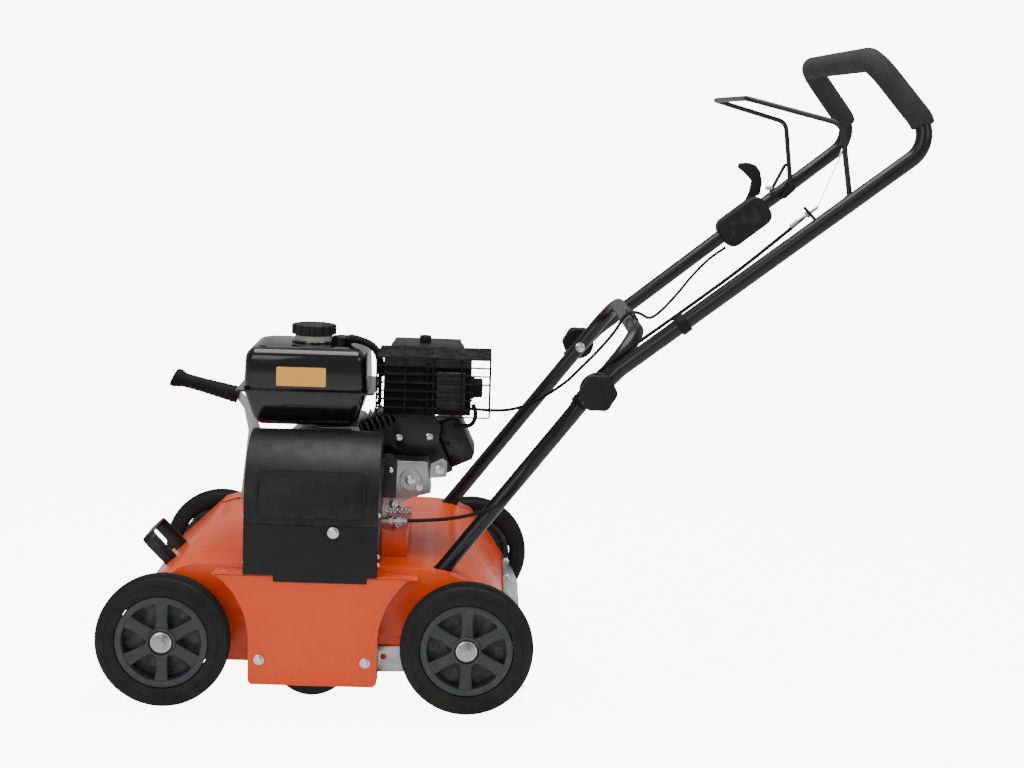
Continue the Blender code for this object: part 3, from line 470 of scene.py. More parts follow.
def pan_screw(name, at, direction, body, radius=0.0042, look=None, slot="steel"):
    """A round screw head with a cross recess."""
    profile = [(-0.0005, 0), (-0.0005, radius), (0.0008, radius), (0.0018, radius * 0.8),
               (0.0023, radius * 0.45),
               (0.0024, 0)]
    head = turned(profile, steps=24)
    arms = [block((0.0017, -radius * 0.5, -radius * 0.09), (0.0026, radius * 0.5, radius * 0.09)),
            block((0.0017, -radius * 0.09, -radius * 0.5), (0.0026, radius * 0.09, radius * 0.5))]
    mesh = moved(joined(head, *arms), facing(direction, at))
    return piece(name, mesh, look or BRIGHT, slot, body)


def lower_point(distance, x=LOWER_X):
    return Vector((x, FOLD[0] + UP_SLOPE.y * distance, FOLD[1] + UP_SLOPE.z * distance))


def handle_point(y, x_shift=0.0, lift=0.0, side=1):
    start, end = Vector(HANDLE_BEND[0]), Vector(HANDLE_BEND[1])
    along = (end - start).normalized()
    point = start + (end - start) * ((y - start.y) / (end.y - start.y)) + Vector((0, -along.z,
                                                                                  along.y)) * lift
    return Vector((side * (point.x + x_shift), point.y, point.z))


# Cables, drawn along their whole route
CLUTCH_ROUTE = [
    (0.2745, 0.6985, 0.7560), (0.2735, 0.6700, 0.7300), (0.2715, 0.6074, 0.6755), (0.2680, 0.5394, 0.6208),
    (0.2640, 0.4900, 0.5820), (0.2600, 0.4400, 0.5425), (0.2555, 0.4050, 0.5120), (0.2515, 0.3800, 0.4800),
    (0.2515, 0.3552, 0.4360), (0.2515, 0.3125, 0.3730), (0.2515, 0.2770, 0.3160), (0.2515, 0.2320, 0.2940),
    (0.2480, 0.1950, 0.2845), (0.2440, 0.1650, 0.2802), (0.2400, 0.1300, 0.2770), (0.2400, 0.0905, 0.2755),
]
THROTTLE_ROUTE = [
    (-0.2770, 0.6600, 0.6705), (-0.2620, 0.6295, 0.6496), (-0.2200, 0.5970, 0.6231),
                  (-0.1600, 0.5679, 0.5993),
    (-0.0800, 0.5373, 0.5809), (-0.0100, 0.5140, 0.5735), (0.0400, 0.4985, 0.5760), (0.0750, 0.4840, 0.5855),
    (0.0900, 0.4690, 0.5895), (0.0970, 0.4560, 0.5820), (0.1000, 0.4430, 0.5600), (0.0950, 0.4186, 0.5280),
    (0.0850, 0.3921, 0.4974), (0.0700, 0.3696, 0.4716), (0.0500, 0.3392, 0.4458), (0.0350, 0.3154, 0.4291),
    (0.0200, 0.2837, 0.4165), (0.0080, 0.2546, 0.4123), (-0.0020, 0.2267, 0.4118), (-0.0080, 0.1850, 0.4135),
    (-0.0080, 0.1492, 0.4135),
]


def build_cables():
    across = ("chassis", "upper_handle", P(0, 0.350, 0.430), P(0, 0.450, 0.555))
    piece("clutch_cable_sheath", tube(smooth(CLUTCH_ROUTE, 0.008), 0.0027, 14), RUBBER, "rubber", None,
          ["clutch_cable"], bends=across)
    wide = ("chassis", "upper_handle", P(0, 0.300, 0.420), P(0, 0.500, 0.600))
    piece("throttle_cable_sheath", tube(smooth(THROTTLE_ROUTE, 0.008), 0.0025, 14), RUBBER, "rubber", None,
          ["throttle_cable"], bends=wide)
    start, end = Vector((0.240, 0.0900, 0.2755)), Vector((0.240, 0.1300, 0.2770))
    path = [start.lerp(end, t) for t in (-0.10, 0.30, 0.32, 0.44, 0.46, 0.62, 0.64, 0.76, 0.78, 1.0)]
    radii = [0.0045, 0.0045, 0.0075, 0.0075, 0.0045, 0.0045, 0.0075, 0.0075, 0.0040, 0.0036]
    piece("clutch_adjuster", tube(path, radii, 6), BRIGHT, "steel", "chassis", angle=20)
    stay_x = 0.2745
    low, high = Vector((stay_x, 0.6789, 0.7415)), Vector((stay_x, 0.7181, 0.7720))
    sleeve = [low, low.lerp(high, 0.28), low.lerp(high, 0.30), low.lerp(high, 0.56), low.lerp(high, 0.58),
              low.lerp(high, 0.70), low.lerp(high, 0.72), high]
    radii = [0.0034, 0.0034, 0.0026, 0.0026, 0.0052, 0.0052, 0.0024, 0.0024]
    piece("clutch_sleeve", tube(sleeve, radii, 12), BRIGHT, "steel", "upper_handle", angle=25)
    arm = plate([(0.6945, 0.7705), (0.6985, 0.7725), (0.7200, 0.7510), (0.7180, 0.7460)], 0.2790, 0.2810)
    piece("clutch_stay_arm", arm, PAINT, "black_paint", "upper_handle", bevel=0.0004)
    piece("clutch_wire_end", tube([high, (0.2700, 0.7330, 0.8100), (0.2655, 0.7483, 0.8470)], 0.0007, 8),
          BRIGHT, "steel", "upper_handle")
    hook = [(0.2655, 0.7465, 0.8445), (0.2655, 0.7490, 0.8530), (0.2620, 0.7511, 0.8560)]
    piece("clutch_wire_hook", tube(hook, 0.0016, 10), BRIGHT, "steel", "upper_handle")


build_cables()


# Wheels
def tyre_profile():
    right = []
    for i in range(8):
        x = 0.0008 + 0.0018 * i
        crown = WHEEL_R - 0.0014 * (x / 0.0145) ** 2
        right += [(x, crown), (x + 0.0009, crown), (x + 0.0011, crown - 0.0009), (x + 0.0016, crown - 0.0009)]
    right += [(0.0158, 0.0980), (0.0178, 0.0962), (0.0196, 0.0925), (0.0207, 0.0880), (0.0212, 0.0850),
              (0.0207, 0.0844),
              (0.0213, 0.0834), (0.0215, 0.0800), (0.0213, 0.0765), (0.0204, 0.0725), (0.0188, 0.0703),
              (0.0150, 0.0701)]
    return [(-x, r) for x, r in right[::-1]] + right


def spoke(angle):
    """A flat bar from the hub to the lip, with round long edges and a raised middle."""
    mesh = bmesh.new()
    rows = []
    for i in range(9):
        t = i / 8
        half_width = 0.0082 + 0.0020 * (2 * t - 1) ** 2 + 0.0012 * t
        x = 0.0132 - 0.0040 * math.sin(math.pi * t)
        radial = Vector((0, math.cos(angle), math.sin(angle)))
        tangent = Vector((0, -math.sin(angle), math.cos(angle)))
        row = []
        for u, v in soft_box(half_width, 0.0032, 0.0024, 4):
            row.append(mesh.verts.new(radial * (0.0190 + 0.0425 * t) + tangent * u + Vector((x + v, 0, 0))))
        rows.append(row)
    for first, second in zip(rows, rows[1:]):
        for k in range(len(first)):
            j = (k + 1) % len(first)
            mesh.faces.new((first[k], first[j], second[j], second[k]))
    mesh.faces.new(rows[0])
    mesh.faces.new(rows[-1])
    bmesh.ops.recalc_face_normals(mesh, faces=mesh.faces)
    return mesh


def rim_mesh():
    barrel = [(-0.0175, 0.0692), (0.0168, 0.0692), (0.0180, 0.0686), (0.0187, 0.0670), (0.0187, 0.0608),
              (0.0178, 0.0594),
              (0.0150, 0.0590), (-0.0120, 0.0584), (-0.0165, 0.0600), (-0.0175, 0.0640)]
    hub = [(-0.0200, 0.0062), (0.0165, 0.0062), (0.0165, 0.0178), (0.0196, 0.0185), (0.0203, 0.0192),
           (0.0203, 0.0208),
           (0.0194, 0.0218), (0.0160, 0.0224), (0.0060, 0.0230), (-0.0120, 0.0220), (-0.0200, 0.0190)]
    disc = [(-0.0110, 0.0592), (-0.0080, 0.0592), (-0.0080, 0.0215), (-0.0110, 0.0215)]
    spokes = [spoke(math.radians(90 + 60 * i)) for i in range(6)]
    return joined(turned(barrel, steps=96, ring=True), turned(hub, steps=64, ring=True),
                  turned(disc, steps=96, ring=True), *spokes)


def build_wheels():
    for name, side, y in (("front_left", 1, -HALF_BASE), ("front_right", -1, -HALF_BASE),
                          ("rear_left", 1, HALF_BASE), ("rear_right", -1, HALF_BASE)):
        flip = Matrix.Diagonal((side, 1, 1, 1))
        place = Matrix.Translation((side * WHEEL_X, y, AXLE_Z)) @ flip
        body = f"wheel_{name}"
        for mesh, look, slot, part in ((turned(tyre_profile(), steps=120, ring=True), TYRE, "tyre", "tyre"),
                                       (rim_mesh(), RIM, "rim_plastic", "rim")):
            moved(mesh, place)
            bmesh.ops.recalc_face_normals(mesh, faces=mesh.faces)
            piece(f"{part}_{name}_shape", mesh, look, slot, body, [f"{part}_{name}"], angle=32)
        axle = "front_axle" if "front" in name else "chassis"
        at = (side * (WHEEL_X + 0.0173), y, AXLE_Z)
        hex_bolt(f"wheel_bolt_{name}", at, (side, 0, 0), axle, 0.0070, 0.0022, 0.0155)


build_wheels()


# Handles
def upper_path(steps=12):
    side = [(UPPER_X, 0.388, 0.4665), *HANDLE_BEND, (0.262, *GRIP)]
    return rounded(side + [(-x, y, z) for x, y, z in side[::-1]], 0.045, steps)


def build_handles():
    side = [lower_point(-0.425), lower_point(0.101)]
    path = rounded(side + [Vector((-p.x, p.y, p.z)) for p in side[::-1]], 0.055, 14)
    piece("lower_handle_tube", tube(path, TUBE_R, 32), PAINT, "black_paint", "chassis", ["lower_handle"],
          bevel=0.001)
    piece("upper_handle_tube", tube(upper_path(14), TUBE_R, 32), PAINT, "black_paint", "upper_handle",
          ["upper_handle"], bevel=0.001)
    fine = 16
    skip = 1 + (fine + 1) + 12
    sleeve = upper_path(fine)[skip:-skip]
    radii = [0.0180] * len(sleeve)
    for end in (0, -1):
        radii[end] = 0.0165
    foam = piece("grip_foam_sleeve", tube(sleeve, radii, 40), FOAM, "rubber", "upper_handle", ["grip_foam"],
                 bevel=0.002)
    for name, sign in (("left", 1), ("right", -1)):
        star_knob(name, sign)
        inner = LOWER_X - TUBE_R
        hex_bolt(f"fold_bolt_{name}", (sign * inner, *FOLD), (-sign, 0, 0), "chassis", 0.0065, 0.0042, 0.0085)


def star_knob(name, sign):
    face = UPPER_X + TUBE_R + 0.0003
    out = 0.3086
    front = out - 0.0155
    base = [(face, 0), (face, 0.0262), (face + 0.001, 0.0272), (face + 0.0055, 0.0272),
            (face + 0.0068, 0.0258),
            (face + 0.0075, 0.016), (front + 0.001, 0.0152), (front + 0.001, 0)]
    body = turned(base, FOLD, "X", 72)
    for vert in body.verts:
        dy, dz = vert.co.y - FOLD[0], vert.co.z - FOLD[1]
        if math.hypot(dy, dz) > 0.026:
            rib = 1 - 0.022 * (0.5 + 0.5 * math.cos(36 * math.atan2(dz, dy)))
            vert.co.y, vert.co.z = FOLD[0] + dy * rib, FOLD[1] + dz * rib
    outline = []
    for i in range(144):
        angle = math.tau * i / 144
        radius = 0.0270 + 0.0013 * math.cos(6 * angle)
        outline.append((FOLD[0] + radius * math.cos(angle), FOLD[1] + radius * math.sin(angle)))
    star = plate(outline, front, out - 0.0004)
    rim_edges = [e for e in star.edges if abs(e.verts[0].co.x - e.verts[1].co.x) < 1e-6]
    bmesh.ops.bevel(star, geom=rim_edges, offset=0.0032, segments=4, affect="EDGES", profile=0.6)
    cap = turned([(out - 0.0010, 0.0105), (out - 0.0002, 0.0100), (out, 0.0085), (out, 0)], FOLD, "X", 48)
    whole = joined(body, star, cap, turned([(LOWER_X - TUBE_R, 0), (LOWER_X - TUBE_R, 0.0035),
                                            (face, 0.0035), (face, 0)],
                                           FOLD, "X", 20))
    moved(whole, Matrix.Diagonal((sign, 1, 1, 1)))
    bmesh.ops.recalc_face_normals(whole, faces=whole.faces)
    piece(f"star_knob_{name}_shape", whole, PLASTIC, "black_plastic", f"star_knob_{name}",
          [f"star_knob_{name}"],
          angle=30)


def clip(name, at, along, body, radius=0.0138, width=0.010):
    along = Vector(along).normalized()
    at = Vector(at)
    ring = tube([at - along * width / 2, at - along * width * 0.4, at + along * width * 0.4,
                 at + along * width / 2],
                [radius - 0.0006, radius, radius, radius - 0.0006], 32)
    piece(name, ring, RUBBER, "rubber", body, angle=25)


def build_bail():
    side = [(0.2706, *BAIL_PIVOT), (0.2625, *BAIL_PIVOT), (0.2500, 0.7506, 0.8930), (0.1900, 0.618, 0.926)]
    path = side + [(-x, y, z) for x, y, z in side[::-1]]
    bends = rounded(path[1:-1], 0.022, 12)
    piece("bail_wire", tube([path[0], *bends, path[-1]], 0.0041, 18), PAINT, "black_paint", "bail", ["bail"],
          bevel=0.0006)
    for name, sign in (("left", 1), ("right", -1)):
        outline = circle(BAIL_PIVOT, 0.0105, 14, math.radians(35), math.radians(180))
        outline += [(0.7485, 0.7590), (0.7600, 0.7610), (0.7760, 0.7760)]
        lug = plate(outline, sign * 0.2645, sign * 0.2675)
        piece(f"bail_lug_{name}", lug, PAINT, "black_paint", "upper_handle", bevel=0.0006)
        hex_bolt(f"bail_pin_{name}", (sign * 0.2675, *BAIL_PIVOT), (sign, 0, 0), "upper_handle", 0.0048,
                 0.003, 0.0065,
                 look=PAINT)


def build_throttle():
    start, end = HANDLE_BEND
    angle = math.atan2(end[2] - start[2], end[1] - start[1])
    middle = handle_point(0.6885, 0.0, -0.0025, -1)
    turn = Matrix.Translation(middle) @ Matrix.Rotation(angle, 4, "X")
    halves = []
    for low, high in ((-0.019, -0.0004), (0.0004, 0.019)):
        half = plate(soft_box(0.0485, 0.0275, 0.018, 10), low, high)
        outer = low if low < -0.01 else high
        edges = [e for e in half.edges if all(abs(v.co.x - outer) < 1e-6 for v in e.verts)]
        bmesh.ops.bevel(half, geom=edges, offset=0.005, segments=5, affect="EDGES", profile=0.5)
        halves.append(half)
    lips = plate(soft_box(0.0475, 0.0265, 0.017, 10), -0.002, 0.002)
    pad = plate(soft_box(0.030, 0.0135, 0.008, 8), 0.0180, 0.0196)
    housing = moved(joined(*halves, lips, pad), turn)
    piece("throttle_housing_shell", housing, PLASTIC, "black_plastic", "upper_handle", ["throttle_housing"],
          angle=30)
    for i, (u, v) in enumerate(((0.037, 0.010), (-0.037, -0.010))):
        pan_screw(f"throttle_screw_{i}", turn @ Vector((0.0188, u, v)), (1, 0, 0), "upper_handle", 0.0036,
                  PLASTIC,
                  "black_plastic")
    peg = moved(turned([(-0.0206, 0), (-0.0206, 0.0095), (-0.0188, 0.0100), (-0.0150, 0.0100),
                        (-0.0150, 0)], steps=32),
                Matrix.Translation(handle_point(0.697, 0.0, 0.006, -1)))
    piece("throttle_boss", peg, PLASTIC, "black_plastic", "upper_handle", bevel=0.0004)
    bracket = rounded([Vector((-0.270, 0.7329, 0.7707)), Vector((-0.270, 0.7568, 0.8198)),
                       Vector((-0.270, 0.7645, 0.8191)),
                       Vector((-0.270, 0.7669, 0.7775))], 0.004, 6)
    piece("bail_stop_bracket", tube(bracket, 0.0030, 12), PAINT, "black_paint", "upper_handle")
    piece("bail_stop_peg", tube([(-0.270, 0.7248, 0.7780), (-0.270, 0.7362, 0.7784)], 0.0038, 16), CREAM,
          "rim_plastic",
          "upper_handle", bevel=0.0006)


build_handles()
build_bail()
build_throttle()
clip("cable_clip_lower", (LOWER_X, 0.3849, 0.4659), UP_SLOPE, "chassis")
rise = Vector(HANDLE_BEND[1]) - Vector(HANDLE_BEND[0])
clip("cable_clip_upper", handle_point(0.5295, 0.002), rise, "upper_handle", 0.0150, 0.016)
guide = smooth([(0.122, 0.4700, 0.5845), (0.126, 0.4560, 0.5960), (0.150, 0.4580, 0.6030),
                (0.172, 0.4650, 0.5960),
                (0.168, 0.4720, 0.5850)], 0.004)
piece("cable_guide", tube(guide, 0.0016, 10), PAINT, "black_paint", "chassis")


# Deck
def build_deck_details():
    for i, (y, z) in enumerate(((-0.0840, 0.0716), (0.0746, 0.0710))):
        hex_bolt(f"apron_bolt_{i}", (0.3000, y, z), (1, 0, 0), "chassis", 0.0062, 0.0042, 0.0078)
    for i, y in enumerate((-0.139, 0.129)):
        pan_screw(f"flange_screw_{i}", (0.281, y, 0.2005), (0, 0, 1), "chassis", 0.0045)
    top = plate([(0.2605, -0.1520), (0.3000, -0.1560), (0.3000, 0.1500), (0.2605, 0.1500)], 0.1996, 0.2016,
                "Z")
    piece("apron_flange", top, ORANGE, "orange_paint", "chassis", bevel=0.0006)
    for i in range(5):
        x = -0.24 + 0.12 * i
        hex_bolt(f"deflector_bolt_{i}", (x * 0.98, 0.2905, 0.1003), (0, 0.83, 0.55), "chassis", 0.0050,
                 0.0030, 0.0068)
    for name, sign in (("left", 1), ("right", -1)):
        hex_bolt(f"bearing_bolt_a_{name}", (sign * 0.2636, -0.007, 0.098), (sign, 0, 0), "chassis", 0.0045,
                 0.003)
        hex_bolt(f"bearing_bolt_b_{name}", (sign * 0.2636, -0.007, 0.046), (sign, 0, 0), "chassis", 0.0045,
                 0.003)


def build_depth_grip():
    start = Vector((LEVER_X, -0.1855, 0.3912))
    along = Vector((0, -0.112, 0.028)).normalized()
    sizes = [(0.0006, 0), (0.0006, 0.0140), (0.0022, 0.0150)]
    for i in range(10):
        x = 0.006 + 0.009 * i
        r = 0.0125 + 0.0022 * abs(i - 6) / 6 if i < 6 else 0.0125
        sizes += [(x, r - 0.0005), (x + 0.0012, r), (x + 0.0058, r), (x + 0.0070, r - 0.0005)]
    sizes += [(0.098, 0.0130), (0.106, 0.0155), (0.109, 0.0166), (0.1145, 0.0166), (0.1165, 0.0150),
              (0.1168, 0)]
    grip = turned(sizes, steps=40)
    for vert in grip.verts:
        if vert.co.x > 0.1:
            vert.co.x -= vert.co.z * 0.22
    place = Matrix.Translation(start) @ Vector((1, 0, 0)).rotation_difference(along).to_matrix().to_4x4()
    piece("depth_grip_rubber", moved(grip, place), RUBBER, "rubber", "front_axle", ["depth_grip"], angle=30)


build_deck_details()
build_depth_grip()


# Belt covers
def build_cover_details():
    hex_bolt("cover_bolt", (COVER_X, 0.0237, 0.2703), (1, 0, 0), "chassis", 0.0075, 0.0050, 0.0085)
    for i, z in enumerate((0.2175, 0.2900)):
        pan_screw(f"cover_front_screw_{i}", (0.2900, -0.1090, z), (0, -1, 0), "chassis", 0.0038)
    for i, z in enumerate((0.2195, 0.2320, 0.2950)):
        pan_screw(f"cover_rear_screw_{i}", (0.2900, 0.0900, z), (0, 1, 0), "chassis", 0.0038)
    middle, half = (-0.0108, 0.3250), (0.0778, 0.0350)
    outer = [(p[0] + middle[0], p[1] + middle[1]) for p in soft_box(half[0] + 0.0030, half[1] + 0.0030,
                                                                    0.0120, 8)]
    inner = [(p[0] + middle[0], p[1] + middle[1]) for p in soft_box(half[0], half[1], 0.0095, 8)]
    frame_edge = plate(outer, COVER_X - 0.0006, COVER_X + 0.0012, holes=[inner])
    piece("cover_panel_frame", frame_edge, PLASTIC, "black_plastic", "chassis", bevel=0.0005)
    bracket = plate([(0.0905, 0.3021), (0.1100, 0.3021), (0.1112, 0.3600), (0.1030, 0.3707),
                     (0.0905, 0.3707)],
                    0.1935, 0.1960)
    piece("cover_bracket", bracket, PAINT, "black_paint", "chassis", bevel=0.0008)
    pan_screw("cover_bracket_screw", (0.1960, 0.101, 0.345), (1, 0, 0), "chassis", 0.0045)


build_cover_details()


# Engine
def engine_piece(name, mesh, look, slot, **more):
    return piece(name, mesh, look, slot, "chassis", at=ENGINE_AT, **more)


def build_tank():
    base, seam, lid = 0.394, 0.449, 0.5135
    centre = Vector((0.0315, -0.040, 0.0))
    low, high = Vector((-0.055, -0.1335, base)), Vector((0.118, 0.054, lid))
    tank = block(low, high, 0.016, 8)
    bmesh.ops.bisect_plane(tank, geom=tank.verts[:] + tank.edges[:] + tank.faces[:], plane_co=(0, 0, seam),
                           plane_no=(0, 0, 1))
    for vert in tank.verts:
        share = (seam - vert.co.z) / (seam - base)
        taper = 0.17 * share if share > 0 else -0.03 * share
        vert.co.x += (centre.x - vert.co.x) * taper
        vert.co.y += (centre.y - vert.co.y) * taper
    flange = plate([(p[0] + 0.0315, p[1] - 0.0385) for p in soft_box(0.0945, 0.1050, 0.012, 8)],
                   seam - 0.0015, seam + 0.0015, "Z")
    panel = plate([(p[0] + 0.0315, p[1] - 0.040) for p in soft_box(0.068, 0.074, 0.018, 8)], lid - 0.002,
                  lid + 0.0018, "Z")
    bmesh.ops.bevel(panel, geom=[e for e in panel.edges if all(v.co.z > lid for v in e.verts)], offset=0.0016,
                    segments=3, affect="EDGES", profile=0.5)
    engine_piece("fuel_tank_shell", joined(tank, flange, panel), GLOSS, "tank_gloss",
                 replaces=["fuel_tank"], angle=50)
    neck = (0.030, -0.0344)
    engine_piece("tank_neck", turned([(lid, 0.030), (lid + 0.002, 0.0345), (0.5180, 0.0345), (0.5189, 0.0335),
                                      (0.5189, 0.0285), (lid, 0.028)], neck, "Z", 64, True), GLOSS,
                 "tank_gloss")
    engine_piece("tank_neck_ring", turned([(0.5186, 0.026), (0.5190, 0.0292), (0.5265, 0.0292),
                                           (0.5272, 0.0280),
                                           (0.5272, 0.026)], neck, "Z", 64, True), CREAM, "rim_plastic")
    outline = []
    for i in range(192):
        angle = math.tau * i / 192
        radius = 0.0334 + 0.0014 * max(-0.7, math.cos(16 * angle))
        outline.append((neck[0] + radius * math.cos(angle), neck[1] + radius * math.sin(angle)))
    cap = plate(outline, 0.5282, 0.5436, "Z")
    bmesh.ops.bevel(cap, geom=[e for e in cap.edges if all(v.co.z > 0.543 for v in e.verts)], offset=0.0022,
                    segments=4,
                    affect="EDGES", profile=0.5)
    top = turned([(0.5430, 0.0260), (0.5440, 0.0250), (0.5440, 0.0180), (0.5432, 0.0170), (0.5432, 0)],
                 neck, "Z", 64)
    piece("fuel_cap_shape", joined(cap, top), PLASTIC, "black_plastic", "fuel_cap", ["fuel_cap"],
          at=ENGINE_AT, angle=40)
    label = plate([(p[0] - 0.0448, p[1] + 0.4720) for p in soft_box(0.0375, 0.0145, 0.002, 4)], 0.1160,
                  0.1186)
    engine_piece("tank_label_blank", label, AMBER, "tank_gloss")
    vent = (0.030, 0.0099)
    engine_piece("vent_cap", turned([(0.508, 0), (0.508, 0.0100), (0.514, 0.0100), (0.515, 0.0150),
                                     (0.5245, 0.0150),
                                     (0.5262, 0.0135), (0.5267, 0)], vent, "Z", 40), PLASTIC, "black_plastic")
    hose = smooth([(0.034, 0.018, 0.5220), (0.060, 0.034, 0.5250), (0.070, 0.056, 0.5190),
                   (0.070, 0.068, 0.5060),
                   (0.064, 0.072, 0.4900), (0.050, 0.0745, 0.4700)], 0.0015)
    radii = [0.0058 + 0.0008 * math.sin(i * 2.1) for i in range(len(hose))]
    engine_piece("vent_hose", tube(hose, radii, 20), RUBBER, "rubber", angle=60)
    engine_piece("vent_hose_clip", tube([hose[8], hose[12]], 0.0072, 24), BRIGHT, "steel")


def build_muffler():
    low, high = Vector((0.010, 0.0800, 0.4168)), Vector((0.108, 0.2135, 0.5040))
    outline = []
    count = 60
    for i in range(count + 1):
        z = low.z + 0.010 + (high.z - low.z - 0.020) * i / count
        outline.append((high.x - 0.0022 + 0.0022 * math.cos(math.tau * i / 12), z))
    outline += [(high.x - 0.010, high.z), (low.x + 0.010, high.z), (low.x, high.z - 0.010),
                (low.x, low.z + 0.010),
                (low.x + 0.010, low.z), (high.x - 0.010, low.z)]
    body = plate(outline, low.y, high.y, "Y")
    outlet = (0.080, 0.458)
    pipe = turned([(0.205, 0.0175), (0.216, 0.0175), (0.2190, 0.0150), (0.2312, 0.0145), (0.2312, 0.0115),
                   (0.2100, 0.0115)], outlet, "Y", 48, True)
    seam = plate(soft_box(0.0505, 0.0445, 0.012, 6), 0.1440, 0.1500, "Y")
    moved(seam, Matrix.Translation(((low.x + high.x) / 2, 0, (low.z + high.z) / 2)))
    engine_piece("muffler_shell", joined(body, pipe, seam), MUFFLER, "black_paint", replaces=["muffler"],
                 bevel=0.0012,
                 angle=50)
    pan = plate([(0.160, 0.4300), (0.205, 0.4300), (0.205, 0.4850), (0.160, 0.4850)], 0.1070, 0.1110)
    engine_piece("muffler_heat_plate", pan, PAINT, "black_paint", bevel=0.002)


def build_guard():
    back, front, near, far = -0.010, 0.122, 0.0700, 0.2425
    bottom, top = 0.4180, 0.5070
    wire = 0.0013
    rows = 8
    parts = []
    full = (0, 1, 4, 5, 6, 7)
    for i in range(rows):
        z = bottom + (top - bottom) * i / (rows - 1)
        end = far if i in full else 0.2150
        path = rounded([(back, near, z), (front, near, z), (front, end, z),
                        (back if i in full else front - 0.014, end, z)],
                       0.007, 6)
        parts.append(tube(path, wire, 10))
    for y in (near, 0.113, 0.156, 0.199, far):
        parts.append(tube(rounded([(front - 0.0008, y, bottom), (front - 0.0008, y, top), (back, y, top)],
                                  0.006, 6), wire, 10))
    parts.append(tube([(front - 0.009, far, bottom), (front - 0.009, far, top)], wire, 10))
    for x in (back, back + 0.030, back + 0.060):
        for y in (near, far):
            parts.append(tube([(x, y, bottom), (x, y, top)], wire, 10))
    for i in range(14):
        x = back + (front - back) * i / 14
        parts.append(tube([(x, near, top), (x, far, top)], wire, 8))
    engine_piece("muffler_guard_wires", joined(*parts), MUFFLER, "black_paint", replaces=["muffler_guard"],
                 angle=60)


def build_engine_details():
    for i, (y, z) in enumerate(((0.1105, 0.3882), (0.1576, 0.3911))):
        hex_bolt(f"exhaust_nut_{i}", (0.1502, y, z), (1, 0, 0), "chassis", 0.0042, 0.004, 0.0055)
    boss = [(0.112, 0), (0.112, 0.0170), (0.1145, 0.0160), (0.1145, 0)]
    engine_piece("cover_boss", turned(boss, (0.1254, 0.3171), "X", 40), CAST, "aluminium")
    hex_bolt("cover_boss_bolt", (0.1945, 0.1321, 0.3306), (1, 0, 0), "chassis", 0.0062, 0.005, 0.0080)
    ring = [(0.112, 0.0405), (0.112, 0.0460), (0.1132, 0.0460), (0.1132, 0.0405)]
    engine_piece("crank_boss", turned(ring, ENGINE_CRANK, "X", 48, True), CAST, "aluminium")
    for i, (y, z) in enumerate(((0.1000, 0.2780), (0.1380, 0.3060), (0.0720, 0.2620))):
        hex_bolt(f"case_bolt_{i}", (0.1921, y + 0.0067, z + 0.0135), (1, 0, 0), "chassis", 0.0052, 0.004,
                 0.0066)
    hex_bolt("cover_stud", (0.192, 0.1757, 0.3473), (1, 0, 0), "chassis", 0.0060, 0.006, 0.0078)
    arm = plate([(0.1600, 0.3330), (0.1870, 0.3360), (0.1870, 0.3600), (0.1800, 0.3650), (0.1620, 0.3560)],
                0.1860, 0.1890)
    piece("governor_plate", arm, CAST, "aluminium", "chassis", bevel=0.001)
    ports = smooth([(0.158, 0.1960, 0.4110), (0.160, 0.2060, 0.4110), (0.160, 0.2215, 0.4135),
                    (0.160, 0.2275, 0.4240),
                    (0.160, 0.2275, 0.4360), (0.158, 0.2235, 0.4455)], 0.004)
    piece("spark_lead", tube(ports, 0.0034, 14), RUBBER, "rubber", "chassis")
    spring = []
    for i in range(120):
        t = i / 119
        spring.append(Vector((0.214 + 0.0042 * math.cos(t * 44), 0.095 + 0.042 * t,
                              0.2860 + 0.0042 * math.sin(t * 44))))
    piece("clutch_spring", tube(spring, 0.0008, 8), BRIGHT, "steel", "chassis")
    for i, y in enumerate((0.110, -0.098)):
        for j, x in enumerate((0.160, 0.030)):
            hex_bolt(f"foot_bolt_{i}{j}", (x, y, 0.2490), (0, 0, 1), "chassis", 0.0065, 0.005, 0.0085)
    box_low, box_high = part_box("air_filter_box")
    dome = block((box_low.x + 0.006, box_low.y + 0.006 - SHIFT_Y, box_high.z - 0.004),
                 (box_high.x - 0.006, box_high.y - 0.006 - SHIFT_Y, box_high.z + 0.0030), 0.003, 3)
    piece("air_filter_lid", dome, PLASTIC, "black_plastic", "chassis")
    for i in range(6):
        a = math.tau * i / 6
        rib = block((-0.1610, -0.0022, 0.030), (-0.1560, 0.0022, 0.066), 0.0008, 2)
        engine_piece(f"recoil_rib_{i}", moved(rib, Matrix.Translation((0,
                                                                       *ENGINE_CRANK)) @ Matrix.Rotation(a,
                                                                                                         4, "X")),
                     PLASTIC, "black_plastic")


build_tank()
build_muffler()
build_guard()
build_engine_details()

# CAD nodes that keep their shape
dress("deck_hood side_plate_left side_plate_right belt_side_cover", ORANGE, 0.0007)
dress("engine_plate", ORANGE, 0.002)
dress("belt_cover_lower belt_cover_upper", PLASTIC, 0.0012, 3)
dress("recoil_housing air_filter_box air_filter_knob choke_lever starter_grip oil_filler_cap", PLASTIC,
      0.0008)
dress("rotor_pulley idler_pulley throttle_lever", PLASTIC, 0.0006)
dress("front_handle exhaust_flange", PAINT, 0.0006)
dress("rocker_cover", PAINT, 0.003, 3)
dress("drive_belt spark_plug_cap", RUBBER, 0.0006)
dress("rear_deflector axle_bracket_left axle_bracket_right depth_lever depth_quadrant idler_arm", ZINC,
      0.0003)
dress("rear_axle front_axle rotor_shaft rotor_bearing_left rotor_bearing_right drive_pulley", STEEL, 0.0004)
dress("rotor_blades", STEEL, 0.0)
dress("crankcase crankcase_cover carburettor", CAST, 0.002, 3)
dress("cylinder_block", PAINT, 0.0004)


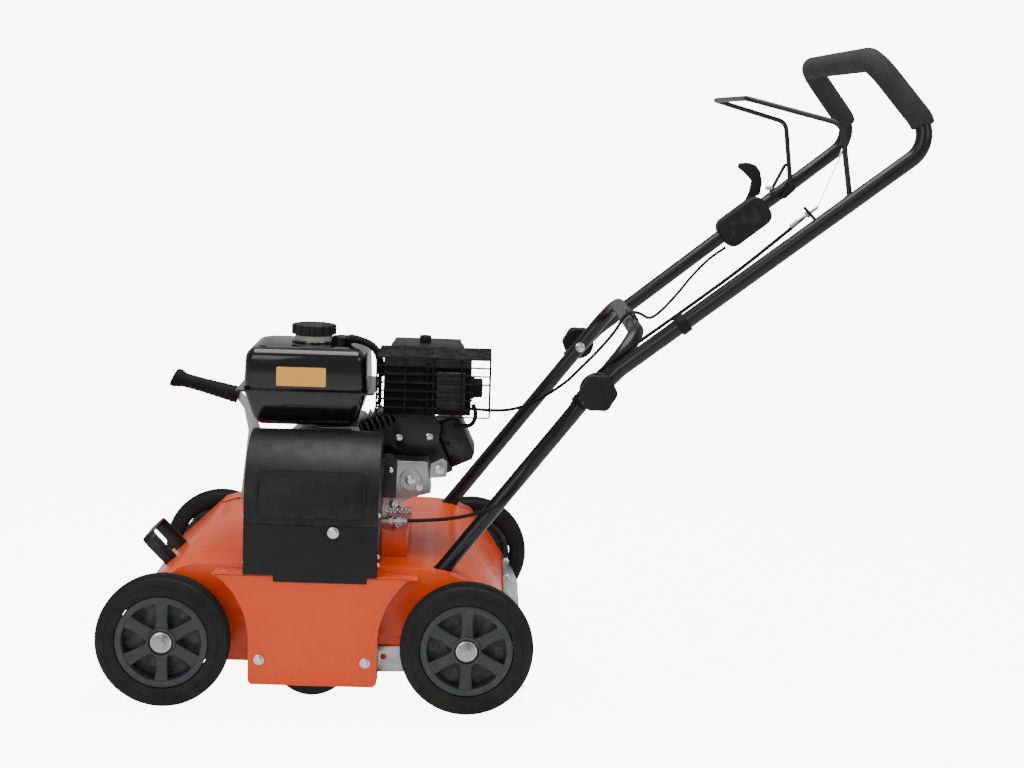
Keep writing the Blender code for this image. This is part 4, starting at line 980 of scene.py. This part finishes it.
# Studio
FLOOR_SEEN = 8.2
SKY_LIGHT = 0.42
SKY_SEEN = 9.0


def camera_only(nodes, links, hidden, seen):
    """A value with one level for what the camera sees and another for the light on the object."""
    ray = nodes.new("ShaderNodeLightPath")
    level = nodes.new("ShaderNodeMapRange")
    level.inputs["To Min"].default_value = hidden
    level.inputs["To Max"].default_value = seen
    links.new(ray.outputs["Is Camera Ray"], level.inputs["Value"])
    return level.outputs["Result"]


def floor_material():
    material = bpy.data.materials.new("studio_floor")
    material.use_nodes = True
    nodes, links = material.node_tree.nodes, material.node_tree.links
    shader = nodes["Principled BSDF"]
    shader.inputs["Roughness"].default_value = 0.8
    shader.inputs["Specular IOR Level"].default_value = 0.1
    texture = nodes.new("ShaderNodeTexNoise")
    texture.inputs["Scale"].default_value = 3.0
    tone = nodes.new("ShaderNodeMapRange")
    tone.inputs["To Min"].default_value = 0.90
    tone.inputs["To Max"].default_value = 0.94
    links.new(texture.outputs["Fac"], tone.inputs["Value"])
    links.new(tone.outputs["Result"], shader.inputs["Base Color"])
    shader.inputs["Emission Color"].default_value = (1.0, 1.0, 1.0, 1.0)
    seen = camera_only(nodes, links, 0.0, FLOOR_SEEN)
    links.new(seen, shader.inputs["Emission Strength"])
    return material


def add_light(name, at, target, size, power):
    data = bpy.data.lights.new(name, "AREA")
    data.shape = "SQUARE"
    data.size = size
    data.energy = power
    light = bpy.data.objects.new(name, data)
    light.location = P(*at)
    light.rotation_euler = (P(*target) - P(*at)).to_track_quat("-Z", "Y").to_euler()
    bpy.context.scene.collection.objects.link(light)


def build_studio():
    mesh = bmesh.new()
    bmesh.ops.create_grid(mesh, x_segments=1, y_segments=1, size=30.0)
    data = bpy.data.meshes.new("floor")
    mesh.to_mesh(data)
    mesh.free()
    data.materials.append(floor_material())
    floor = bpy.data.objects.new("floor", data)
    bpy.context.scene.collection.objects.link(floor)
    world = bpy.data.worlds.new("studio")
    world.use_nodes = True
    nodes, links = world.node_tree.nodes, world.node_tree.links
    sky = nodes["Background"]
    sky.inputs["Color"].default_value = (1.0, 1.0, 1.0, 1.0)
    links.new(camera_only(nodes, links, SKY_LIGHT, SKY_SEEN), sky.inputs["Strength"])
    bpy.context.scene.world = world
    add_light("overhead", (0.2, 0.1, 3.0), (0.0, 0.1, 0.3), 2.2, 105.0)
    add_light("front_fill", (3.6, -1.6, 1.8), (0.0, 0.1, 0.4), 2.2, 42.0)
    add_light("rear_fill", (2.6, 3.0, 2.2), (0.0, 0.2, 0.5), 2.0, 28.0)


build_studio()


def corners(box):
    return [[round(float(v), 6) for v in corner] for corner in box]
